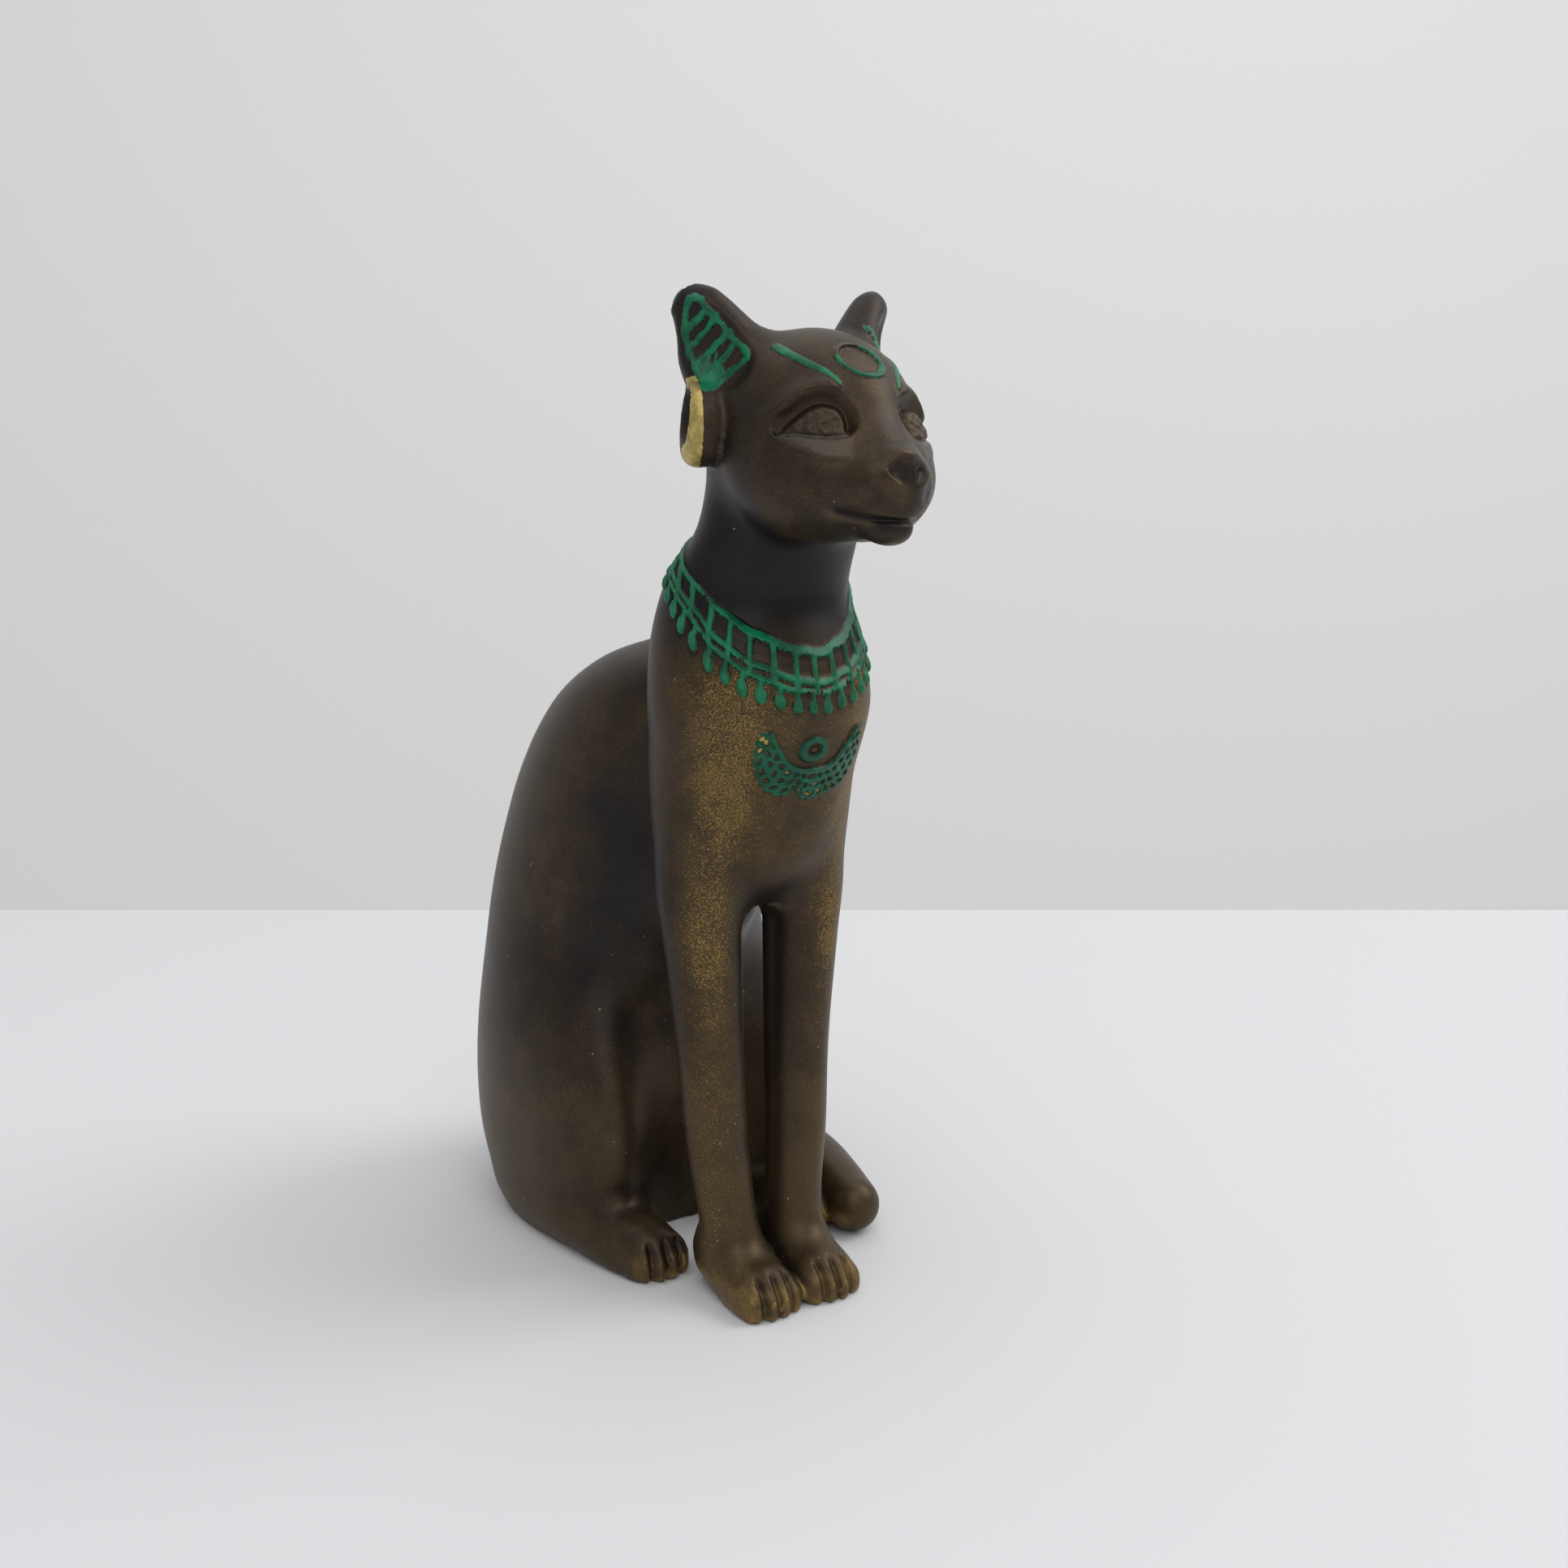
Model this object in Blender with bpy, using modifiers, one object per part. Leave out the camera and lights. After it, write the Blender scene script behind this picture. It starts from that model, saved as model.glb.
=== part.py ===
# Egyptian cat figurine: a seated cat cast in one piece, with a broad collar, a breast ornament and earrings.
# It faces -Y, its left is +X, and it sits on Z = 0. Every measure below is a share of figureHeight.
import math

import bmesh
import bpy
import numpy as np
from mathutils import Matrix

figureHeight = 0.150  # ground to ear tips, in metres
heightShares = 147.8  # the measures below count this many shares in that height
solidTriangles = 9800
blankSegments = 28
rodBalls = 9
firstVoxel = 1.0  # of the first remesh, in shares
firstSteps = 6  # and steps onto the form after it
lastVoxel = 0.55
lastSteps = 3
probe = 0.04  # how far apart the form is read to find its slope
longestStep = 0.6
leastSlope = 0.25  # squared
headKeep = 0.002  # how far the decimation spares the head
headShare = 0.5  # weight of the head in the decimation, against 1 for the body
neckHeight = 104.0
flatBand = 0.3  # anything this near the ground ends flat on it

# Rows of a limb or a trunk: place along it, then centre (2) and half widths (2) across it
rump = [
    (-4, 0, 28.5, 18.5, 17.0), (0, 0, 29.4, 20.8, 18.6), (6, 0, 31.6, 22.8, 20.6),
    (12, 0, 32.8, 23.8, 22.2), (20, 0, 33.0, 24.2, 24.0), (30, 0, 32.6, 24.0, 25.4),
    (45, 0, 30.6, 22.8, 26.0), (56, 0, 28.4, 21.6, 26.8), (65, 0, 26.0, 20.2, 26.8),
    (75, 0, 22.6, 18.4, 26.0), (83, 0, 18.8, 16.4, 24.2), (88, 0, 15.6, 14.6, 22.4),
    (91.5, 0, 12.8, 12.6, 19.8), (94, 0, 11.4, 10.0, 16.4), (96, 0, 10.6, 7.0, 12.0),
    (97.4, 0, 10.4, 3.0, 5.5),
]
chest = [
    (59, 0, -11.0, 4.0, 3.0), (62, 0, -11.0, 9.0, 7.0), (67, 0, -11.4, 12.6, 10.4),
    (73, 0, -11.6, 14.6, 12.2), (79, 0, -12.0, 15.5, 13.3), (85, 0, -13.2, 16.5, 14.3),
    (91, 0, -13.9, 17.0, 14.9), (95, 0, -13.3, 16.5, 14.6), (100, 0, -12.6, 15.5, 14.0),
    (104, 0, -12.1, 14.2, 12.8), (108, 0, -13.6, 13.5, 12.2), (111, 0, -16.2, 12.6, 11.5),
    (113, 0, -18.0, 12.0, 11.0), (115, 0, -19.0, 11.7, 10.8), (126, 0, -21.5, 10.8, 10.4),
    (131, 0, -22.6, 9.6, 9.4), (135, 0, -23.4, 7.4, 7.4),
]
foreleg = [
    (4, 5.4, -14.8, 4.4, 5.0), (14, 6.3, -13.4, 4.4, 4.5), (22, 7.1, -12.8, 4.7, 4.7),
    (35, 7.7, -12.0, 5.0, 5.0), (54, 8.8, -11.5, 5.8, 6.0), (62, 9.3, -11.3, 6.3, 6.4),
    (70, 9.2, -11.2, 5.9, 6.9), (82, 8.6, -11.0, 5.0, 7.0),
]
forepaw = [
    (-27.3, 5.1, 1.2, 1.6, 1.4), (-26.6, 5.2, 1.4, 3.9, 2.8), (-24.5, 5.3, 1.8, 5.0, 4.2),
    (-21, 5.5, 2.4, 5.2, 4.7), (-17, 5.6, 3.4, 4.8, 5.0), (-12, 5.6, 4.8, 4.4, 4.6),
    (-9, 5.6, 5.5, 3.8, 4.0),
]
hindFoot = [
    (-7.6, 12.6, 1.4, 2.0, 2.0), (-6.2, 12.8, 1.8, 4.4, 4.0), (-3, 13.5, 2.4, 5.3, 5.2),
    (2, 14.6, 3.2, 5.9, 5.4), (10, 15.7, 4.2, 6.7, 5.6), (20, 16.0, 4.6, 7.0, 6.0),
    (34, 15.5, 5.0, 6.5, 5.5),
]
ear = [
    (-6, 0.9, -3.8, 5.7, 5.0), (-3, 0.9, -3.4, 6.5, 5.2), (0, 0.9, -3.0, 6.5, 5.1),
    (3, 0.9, -2.4, 5.6, 4.5), (6, 1.2, -1.9, 4.5, 3.6), (8.5, 1.6, -1.4, 3.7, 2.9),
    (10.2, 1.9, -1.1, 3.0, 2.2), (11.3, 1.9, -0.9, 1.4, 1.1),
]
# Tail: points along its middle with its radius, from inside the rump round the left side to the tip
tail = [
    (-9, 40, 11, 6.0), (2, 49.5, 8, 6.4), (11.5, 50.6, 6.4, 6.4), (19.5, 44.5, 5.8, 6.2),
    (24.4, 34, 5.5, 5.9), (26.3, 21, 5.2, 5.5), (25.6, 9, 5.0, 5.2), (23.6, 0, 4.8, 4.9),
    (21.6, -8.3, 4.4, 4.4),
]
tailSteps = 4  # pieces between two of those points

# Rounded masses of body and head: centre, half widths, turn about Z in degrees, both sides or one, fillet
haunch = ((13.6, 21.5, 20.0), (10.4, 20.0, 24.0), 6, True, 9)
belly = ((0.0, 4.0, 61.0), (10.5, 10.0, 13.0), 0, False, 6)
skull = ((0.0, -27.0, 127.8), (14.0, 14.5, 13.3), 0, False, 3)
cheek = ((6.0, -33.0, 120.8), (7.2, 10.0, 7.6), 0, True, 5)
muzzle = ((2.4, -40.1, 121.0), (4.6, 6.8, 4.6), -8, True, 4)
jaw = ((0.0, -38.5, 117.4), (6.4, 9.2, 4.4), 0, False, 4)
lipPad = ((2.4, -44.0, 120.1), (3.3, 4.2, 2.8), -14, True, 2.6)
chin = ((0.0, -44.5, 114.4), (3.1, 3.4, 2.2), 0, False, 1.5)
noseTip = ((0.0, -46.4, 122.3), (2.8, 2.1, 1.9), 0, False, 1.4)
bridge = ((0.0, -36.3, 128.6), (0.0, -45.4, 122.0), 4.6, 2.4)  # two ends and two radii
bridgeFillet = 4
earDish = ((1.5, 2.4, 3.2), (4.9, 6.5, 3.6), -24, False, 1.2)  # hollow of the ear, in its seat, leaning
middleEase = 0.45  # how far the two sides are eased into each other at the middle

# Lengths over which rows are evened, and fillets between limbs and trunk
rumpReach = 6
chestReach = 9
legReach = 6
footReach = 3
earReach = 2
hindFillet = 3.5
tailFillet = 2.2
legFillet = 4
pawFillet = 3
trunkFillet = 2.5
neckFillet = 3
earFillet = 2.5
ringFillet = 0.6

# Seats of the ear, the eye and the earring: place, the way each faces, and the way up
earSeat = ((11.9, -25.0, 136.92), (0.72, -0.69, 0.02), (0.34, 0.18, 0.92))
eyeSeat = ((8.8, -38.6, 127.6), (0.50, -0.86, 0.06), (0.0, 0.0, 1.0))
ringSeat = ((14.85, -21.7, 128.2), (0.925, 0.38, 0.0), (0.0, 0.0, 1.0))
earTilt = 0.048  # the left ear stands higher than the right one
ringRadius = 5.9  # of its rim
ringHole = 3.3
holeUp = 1.2  # the hole sits this far above the ring's middle, so that the ring is heavier below
ringSection = (1.3, 1.8, 3.6)  # half widths of its own section: across at its sides, outwards, into the head
webSink = 1.9  # the plate that closes the ring lies this far in
webHalf = 0.8
webRound = 0.1
webInset = 1.4

# Lids and the shelf's lower edge, in the eye seat: across from the middle of the eye, and up
upperLid = [
    (-5.3, -1.6), (-5.15, 0.2), (-4.7, 1.4), (-3.8, 2.3), (-2.4, 2.65), (-1.1, 2.6), (0.2, 2.0),
    (1.5, 1.0), (2.7, -0.1), (3.8, -1.6),
]
lowerLid = [(-5.3, -1.7), (-4.4, -1.9), (-2.9, -2.05), (-0.5, -1.95), (1.9, -1.6), (3.8, -1.6)]
lidSteps = 3  # pieces between two points of a lid
eyeReach = 8.0  # nothing of the eye lies further from its middle
coveWidth = 2.0
coveDepth = 1.0
coveEase = (0.3, 0.6, 0.8)  # how far the cove runs past the upper lid, below the lower one and above it
innerDeeper = 0.3
innerStart = (2.0, 4.0)
ballRise = 1.35
ballEdge = 1.2
ballSink = 0.15
browRise = 0.8
browWidth = 1.0
browWithin = 0.2  # the brow's crest lies this far inside the cove's edge
browInner = (-5.5, -2.5)  # the brow fades between these, to the inner side
groove = (0.15, 0.1, 0.5)  # depth, how far outside the lid, and width
faceStart = (30.0, 32.0)  # the eyes' lifts begin this far forward

noseHalf = 3.3
noseMiddle = 122.6
noseAbove = 1.4
noseBelow = 3.0
nosePower = 2.2
noseScale = 2.8
noseRidge = 0.24
noseGroove = 0.28
noseLine = 0.42
noseInner = (0.7, 0.7)  # the groove's place inside the outline, and its width
noseLow = (0.3, 1.1)  # the ridge begins this far below noseMiddle
noseSide = (0.6, 1.8)  # and this far to either side
noseTop = (0.22, 0.7, 1.9)  # rise of the bump on the tip, and half widths up and across
noseStart = (45.5, 47.0)
nostril = ((2.1, 121.7), 0.8, 0.25)  # across and up, size and depth

mouthHeight = 115.7
mouthCurve = 0.027
mouthHalf = 7.6
mouthTaper = (0.6, 2.2)
mouthDepth = 0.75
mouthStep = (0.2, 0.35)  # the slit opens from just above the upper lip's edge to its full depth below it
mouthFade = (2.0, 0.3)  # and fades upwards from the first to the second of these below the edge
lipRecess = 0.4  # how far the lower lip is set back
lipEdge = (0.15, 0.6)
lipFade = (4.5, 1.5)
frontRecess = 0.3
frontReach = (0.6, 3.0)
lipRoll = (0.12, 0.75, 0.7)  # rise, height above the edge and width
mouthCorner = (6.6, 1.0, 0.8, 0.35)  # across, half widths and depth
mouthStart = (38.0, 40.0)

# Collar: a band between two planes that tip up towards the nape
collarTilt = 0.9
collarTop = 122.3
collarRows = 118.2
collarEnd = 114.6
collarRise = 0.8
collarMiddle = -13.0
collarEase = 0.5
bandShare = 0.75
rimSink = 0.4
rimWidth = 0.6
dropShare = 0.9
dropPower = 1.5  # the higher, the narrower the drops
collarSpan = (16.0, 17.0)  # it fades between these heights above and below neckHeight
pendants = 38

# Breast ornament: a disc between two raised wings
ornamentX = 0.8
ornamentTop = 80.6
ornamentLow = 76.9
ornamentHalf = 8.2
ornamentRise = 0.7
wingLift = 5.0
wingHalf = 6.6
wingPower = 1.6
wingPast = 1.2  # the wings' upper line is level beyond this many wingHalf
lowBow = 0.028
tipStart = 82.5
tipBow = 0.08
wingEase = (0.3, 0.5)
discHeight = 83.3
discHalf = (2.7, 2.1)
ornamentStart = (14.0, 16.0)

discEase = 0.15
browDisc = ((-0.2, 136.0), (3.3, 2.1))  # across and up the forehead, and half widths
discRim = (0.3, 0.16)  # rise and width
discDish = (0.3, 0.3)  # depth and how far in it is full
toeSpacing = 2.3
toeWidth = 0.5
toeDepth = 0.85
toeRun = 2.5
foreToes = (5.3, 21.5)  # middle of a paw's toes, and where their grooves begin, ahead of Y = 0
hindToes = (13.0, 1.0)
hindSpan = (9.2, 9.8, -12.0, -10.0)  # hind grooves begin between these across, and end between these ahead
toeTop = 7.0
toeFade = 2.0


def turnAboutZ(degrees):
    """Columns are the turned axes, so that a row vector times it is in the turned frame."""
    c = math.cos(math.radians(degrees))
    s = math.sin(math.radians(degrees))
    return np.array([[c, -s, 0.0], [s, c, 0.0], [0.0, 0.0, 1.0]])


def seatAxes(seat):
    """The seat's own across, up and outward directions, as columns."""
    out = np.array(seat[1], float)
    out /= np.linalg.norm(out)
    up = np.array(seat[2], float)
    up -= out * (up @ out)
    up /= np.linalg.norm(up)
    return np.stack([np.cross(up, out), up, out], 1)


def ramp(value, low, high):
    t = np.clip((value - low) / (high - low), 0, 1)
    return t * t * (3 - 2 * t)


def join(a, b, width):
    """Union of two forms with a fillet of about the given width."""
    h = np.maximum(width - np.abs(a - b), 0) / width
    return np.minimum(a, b) - h * h * width * 0.25


def cut(a, b, width):
    return -join(-a, b, width)


def massForm(p, mass):
    centre, half, turn, _, _ = mass
    q = (p - np.array(centre)) @ turnAboutZ(turn)
    r = np.array(half)
    far = np.linalg.norm(q / r, axis=1)
    slope = np.linalg.norm(q / (r * r), axis=1)
    return far * (far - 1) / np.maximum(slope, 1e-9)


def mirrored(p):
    """Both sides on the left one, with no crease at the middle."""
    m = p.copy()
    m[:, 0] = np.sqrt(m[:, 0] ** 2 + middleEase ** 2)
    return m


def joinMass(d, p, m, mass):
    """Joins a mass to the form d, on both sides where it has two; m is p mirrored to the left side."""
    return join(d, massForm(m if mass[3] else p, mass), mass[4])


def rodForm(p, a, b, radiusA, radiusB):
    a = np.array(a, float)
    along = np.array(b, float) - a
    t = np.clip(((p - a) @ along) / (along @ along), 0, 1)
    return np.linalg.norm(p - a - t[:, None] * along, axis=1) - (radiusA + (radiusB - radiusA) * t)


def between(places, known, values):
    """Values at the places, on a smooth curve through the known ones."""
    gap = np.diff(known)
    rise = np.diff(values) / gap
    inner = (rise[:-1] * gap[1:] + rise[1:] * gap[:-1]) / (gap[1:] + gap[:-1])
    slope = np.concatenate([rise[:1], inner, rise[-1:]])
    i = np.clip(np.searchsorted(known, places, "right") - 1, 0, len(gap) - 1)
    t = (places - known[i]) / gap[i]
    u = 1 - t
    start = values[i] * (1 + 2 * t) * u * u + slope[i] * gap[i] * t * u * u
    return start + values[i + 1] * t * t * (3 - 2 * t) - slope[i + 1] * gap[i] * t * t * u


def evened(rows, reach):
    """The rows sampled finely and evened by a running average, so that they give a flowing form."""
    rows = np.array(sorted(rows), float)
    step = 0.25
    places = np.arange(rows[0, 0], rows[-1, 0] + step / 2, step)
    count = int(reach / step) | 1
    weights = np.hanning(count + 2)[1:-1]
    weights /= weights.sum()
    half = count // 2
    columns = []
    for column in (1, 2, 3, 4):
        c = between(places, rows[:, 0], rows[:, column])
        before = 2 * c[0] - c[1:half + 1][::-1]
        after = 2 * c[-1] - c[-half - 1:-1][::-1]
        columns.append(np.convolve(np.concatenate([before, c, after]), weights, "valid"))
    return places, columns


def rowsForm(p, rows, reach):
    """Distance to the form that the rows give; p holds across, across and along."""
    places, (centreA, centreB, halfA, halfB) = evened(rows, reach)
    along = np.clip(p[:, 2], places[0], places[-1])
    ca, cb, a, b = (np.interp(along, places, v) for v in (centreA, centreB, halfA, halfB))
    slope = np.interp(along, places, np.gradient((halfA + halfB) / 2, places))
    x = p[:, 0] - ca
    y = p[:, 1] - cb
    far = np.hypot(x / a, y / b)
    steep = np.hypot(x / a ** 2, y / b ** 2)
    side = np.where(far > 1e-6, far * (far - 1) / np.maximum(steep, 1e-9), -np.minimum(a, b))
    side /= np.sqrt(1 + slope ** 2)
    beyond = np.abs(p[:, 2] - along)
    return np.where(beyond > 0, np.hypot(np.maximum(side, 0), beyond), side)


def flowing(points, steps):
    """The points with more between them, on a smooth curve through them all."""
    points = np.array(points, float)
    ends = np.vstack([2 * points[0] - points[1], points, 2 * points[-1] - points[-2]])
    result = []
    for i in range(1, len(ends) - 2):
        before, a, b, after = ends[i - 1:i + 3]
        for t in np.arange(steps) / steps:
            bend = (2 * before - 5 * a + 4 * b - after) * t ** 2 + (3 * a - before - 3 * b + after) * t ** 3
            result.append(a + 0.5 * ((b - before) * t + bend))
    return np.array(result + [points[-1]])


def hindForm(p, m):
    d = rowsForm(p, rump, rumpReach)
    d = joinMass(d, p, m, haunch)
    d = joinMass(d, p, m, belly)
    d = join(d, rowsForm(m[:, [0, 2, 1]], hindFoot, footReach), hindFillet)
    path = flowing(tail, tailSteps)
    bar = rodForm(p, path[0, :3], path[1, :3], path[0, 3], path[1, 3])
    for a, b in zip(path[1:-1], path[2:]):
        bar = np.minimum(bar, rodForm(p, a[:3], b[:3], a[3], b[3]))
    return join(d, bar, tailFillet)


def foreForm(p, m):
    c = rowsForm(p, chest, chestReach)
    c = join(c, rowsForm(m, foreleg, legReach), legFillet)
    return join(c, rowsForm(m[:, [0, 2, 1]], forepaw, footReach), pawFillet)


def toPath(q, path):
    """Distance from flat points to a path."""
    nearest = np.full(len(q), eyeReach)
    for a, b in zip(path[:-1], path[1:]):
        along = b - a
        t = np.clip(((q - a) @ along) / (along @ along), 0, 1)
        nearest = np.minimum(nearest, np.linalg.norm(q - a - t[:, None] * along, axis=1))
    return nearest


def underLid(q):
    """Signed distance from the upper lid, positive under it, and negative beyond its ends."""
    path = flowing(upperLid, lidSteps)
    inside = (q[:, 0] > path[0, 0]) & (q[:, 0] < path[-1, 0])
    lower = inside & (np.interp(q[:, 0], path[:, 0], path[:, 1]) > q[:, 1])
    return toPath(q, path) * np.where(lower, 1, -1)


def eyeLift(m):
    """The cove under the brow, the eyeball in it and the brow over it."""
    q = (m - np.array(eyeSeat[0])) @ seatAxes(eyeSeat)
    lift = np.zeros(len(m))
    near = (np.abs(q) < eyeReach).all(1)
    q = q[near][:, :2]
    under = underLid(q)
    lower = np.array(lowerLid)
    places = np.clip(q[:, 0], lower[0, 0], lower[-1, 0])
    over = q[:, 1] - between(places, lower[:, 0], lower[:, 1]) - np.abs(q[:, 0] - places)
    u = np.clip(np.minimum(under, over + ballSink) / ballEdge, 0, 1)
    cove = ramp(under, -coveWidth, coveEase[0]) * ramp(over, -coveEase[1], coveEase[2])
    cove *= 1 + innerDeeper * ramp(-q[:, 0], *innerStart)
    depth, outside, width = groove
    cove += depth / coveDepth * np.exp(-((under + outside) / width) ** 2) * ramp(over, 0, width)
    brow = np.exp(-((under + coveWidth - browWithin) / browWidth) ** 2)
    brow *= ramp(q[:, 1], 0, coveWidth) * ramp(q[:, 0], *browInner)
    lift[near] = ballRise * u * (2 - u) - coveDepth * cove + browRise * brow
    return lift


def noseLift(x, z):
    """Ridge and groove round the lower edge of the nose, and the nostril; x is measured to either side."""
    tall = np.where(z > noseMiddle, noseAbove, noseBelow)
    far = (x / noseHalf) ** nosePower + (np.abs(z - noseMiddle) / tall) ** nosePower
    off = (far ** (1 / nosePower) - 1) * noseScale
    outer = ramp(noseMiddle - z, *noseLow) * ramp(x, *noseSide)
    inner, width = noseInner
    lift = noseRidge * np.exp(-(off / noseLine) ** 2) - noseGroove * np.exp(-((off + inner) / width) ** 2)
    rise, tallTop, wideTop = noseTop
    bump = rise * np.exp(-((z - noseMiddle - noseAbove) / tallTop) ** 2 - (x / wideTop) ** 2)
    (across, up), size, depth = nostril
    return lift * outer + bump - depth * np.exp(-((x - across) ** 2 + (z - up) ** 2) / size ** 2)


def mouthLift(x, z):
    """The slit under the upper lip, the lower lip set back from it, and the dimple at the corner."""
    off = z - mouthHeight - mouthCurve * x * x
    along = ramp(mouthHalf - x, -mouthTaper[0], mouthTaper[1])
    recess = ramp(-off, -lipEdge[0], lipEdge[1]) * ramp(off, -lipFade[0], -lipFade[1])
    recess *= frontRecess + (1 - frontRecess) * ramp(x, *frontReach)
    rise, above, width = lipRoll
    lift = rise * np.exp(-((off - above) / width) ** 2) - lipRecess * recess
    lift -= mouthDepth * ramp(-off, -mouthStep[0], mouthStep[1]) * ramp(off, -mouthFade[0], -mouthFade[1])
    across, wide, tall, depth = mouthCorner
    return along * lift - depth * np.exp(-((x - across) / wide) ** 2 - (off / tall) ** 2)


def faceLift(p, m):
    x = m[:, 0]
    z = p[:, 2]
    ahead = -p[:, 1]
    lift = eyeLift(m) * ramp(ahead, *faceStart)
    lift += noseLift(x, z) * ramp(ahead, *noseStart)
    lift += mouthLift(x, z) * ramp(ahead, *mouthStart)
    centre, half = browDisc
    disc = np.hypot((p[:, 0] - centre[0]) / half[0], (z - centre[1]) / half[1])
    mark = discRim[0] * np.exp(-((disc - 1) / discRim[1]) ** 2) - discDish[0] * ramp(1 - disc, 0, discDish[1])
    return lift + mark * ramp(ahead, *faceStart)


def headForm(p, m):
    d = massForm(p, skull)
    for mass in (cheek, muzzle, jaw):
        d = joinMass(d, p, m, mass)
    d = join(d, rodForm(p, *bridge), bridgeFillet)
    for mass in (lipPad, chin, noseTip):
        d = joinMass(d, p, m, mass)
    return d - faceLift(p, m)


def withEars(d, p, m):
    """The form d with both ears on it and their hollows cut."""
    raised = m.copy()
    raised[:, 2] -= earTilt * p[:, 0]
    q = (raised - np.array(earSeat[0])) @ seatAxes(earSeat)
    shell = rowsForm(q[:, [0, 2, 1]], ear, earReach)
    dish = massForm(q, earDish)
    return cut(join(d, shell, earFillet), dish, earDish[4])


def ringForm(m):
    q = (m - np.array(ringSeat[0])) @ seatAxes(ringSeat)
    through = q[:, 2]
    fromRim = ringRadius - np.hypot(q[:, 0], q[:, 1])
    fromHole = np.hypot(q[:, 0], q[:, 1] - holeUp) - ringHole
    half = (fromRim + fromHole) / 2
    usual, outwards, inwards = ringSection
    deep = np.where(through > 0, through / (outwards * np.sqrt(half / usual)), through / inwards)
    ring = (np.hypot((fromHole - fromRim) / (2 * half), deep) - 1) * usual
    web = np.hypot(np.maximum(webInset - fromRim, 0), np.maximum(np.abs(through + webSink) - webHalf, 0))
    return np.minimum(ring, web - webRound)


def collarLift(p):
    """How far the collar stands up from the neck and shoulders."""
    level = p[:, 2] - collarTilt * p[:, 1]
    angle = np.arctan2(p[:, 0], collarMiddle - p[:, 1])
    drops = 0.5 + 0.5 * np.cos(angle * pendants)
    band = ramp(level - collarRows, -collarEase, 0) * ramp(collarTop - level, -collarEase, 0)
    rim = np.exp(-((level - collarTop + rimSink) / rimWidth) ** 2)
    hang = ramp(level - collarEnd, -collarEase, collarEase) * ramp(collarRows - level, 0, collarEase)
    fringe = drops ** dropPower * hang
    onBody = ramp(-np.abs(p[:, 2] - neckHeight), -collarSpan[1], -collarSpan[0])
    return collarRise * onBody * np.maximum(np.maximum(bandShare * band, rim), dropShare * fringe)


def ornamentLift(p):
    x = np.abs(p[:, 0] - ornamentX)
    z = p[:, 2]
    top = ornamentTop + wingLift * np.clip(x / wingHalf, 0, wingPast) ** wingPower
    low = ornamentLow + lowBow * x * x
    side = ornamentHalf - x - tipBow * np.maximum(z - tipStart, 0) ** 2
    wings = ramp(np.minimum(np.minimum(top - z, z - low), side), -wingEase[0], wingEase[1])
    disc = np.hypot(x / discHalf[0], (z - discHeight) / discHalf[1])
    raised = np.maximum(wings, ramp(1 - disc, -discEase, discEase))
    return ornamentRise * raised * ramp(-p[:, 1], *ornamentStart)


def toeLift(m):
    """Grooves between the toes of a forepaw and a hind foot."""
    grooves = 0
    across = ramp(m[:, 0], *hindSpan[:2]) * ramp(m[:, 1], *hindSpan[2:])
    for offset in (-toeSpacing, 0, toeSpacing):
        for middle, start in (foreToes, hindToes):
            line = np.exp(-((m[:, 0] - middle - offset) / toeWidth) ** 2)
            ahead = ramp(-m[:, 1], start, start + toeRun)
            grooves = grooves - toeDepth * line * ahead * (across if start == hindToes[1] else 1)
    return grooves * ramp(toeTop - m[:, 2], -toeFade, 0)


def catForm(p):
    """Signed distance from the cat's surface, about true near it; p is in shares of the height."""
    m = mirrored(p)
    d = join(hindForm(p, m), foreForm(p, m) - ornamentLift(p), trunkFillet)
    d = join(d, headForm(p, m), neckFillet) - collarLift(p) - toeLift(m)
    return join(withEars(d, p, m), ringForm(m), ringFillet)


def addLoft(mesh, rows, place):
    """A closed tube through the rows; place turns (across, across, along) into a point."""
    rings = []
    for along, ca, cb, a, b in sorted(rows):
        turns = [2 * math.pi * i / blankSegments for i in range(blankSegments)]
        ring = [place(ca + a * math.cos(t), cb + b * math.sin(t), along) for t in turns]
        rings.append([mesh.verts.new(point) for point in ring])
    for low, high in zip(rings[:-1], rings[1:]):
        for i in range(blankSegments):
            j = (i + 1) % blankSegments
            mesh.faces.new((low[i], low[j], high[j], high[i]))
    mesh.faces.new(rings[0][::-1])
    mesh.faces.new(rings[-1])


def addMass(mesh, mass):
    centre, half, turn, both, _ = mass
    for side in (1, -1) if both else (1,):
        matrix = (
            Matrix.Translation((side * centre[0], centre[1], centre[2]))
            @ Matrix.Rotation(math.radians(turn * side), 4, "Z")
            @ Matrix.Diagonal((*half, 1.0))
        )
        bmesh.ops.create_uvsphere(
            mesh, u_segments=blankSegments, v_segments=blankSegments // 2, radius=1, matrix=matrix
        )


def addBall(mesh, centre, radius):
    bmesh.ops.create_icosphere(mesh, subdivisions=3, radius=radius, matrix=Matrix.Translation(centre))


def addRod(mesh, a, b, radiusA, radiusB):
    for share in np.linspace(0, 1, rodBalls):
        centre = [(1 - share) * p + share * q for p, q in zip(a, b)]
        addBall(mesh, centre, (1 - share) * radiusA + share * radiusB)


def seated(seat, side):
    """Turns (across, outward, up) of a seat into a point on the given side."""
    axes = seatAxes(seat)
    origin = np.array(seat[0])

    def place(a, b, along):
        x, y, z = origin + axes @ np.array((a, along, b))
        return side * x, y, z

    return place


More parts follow.
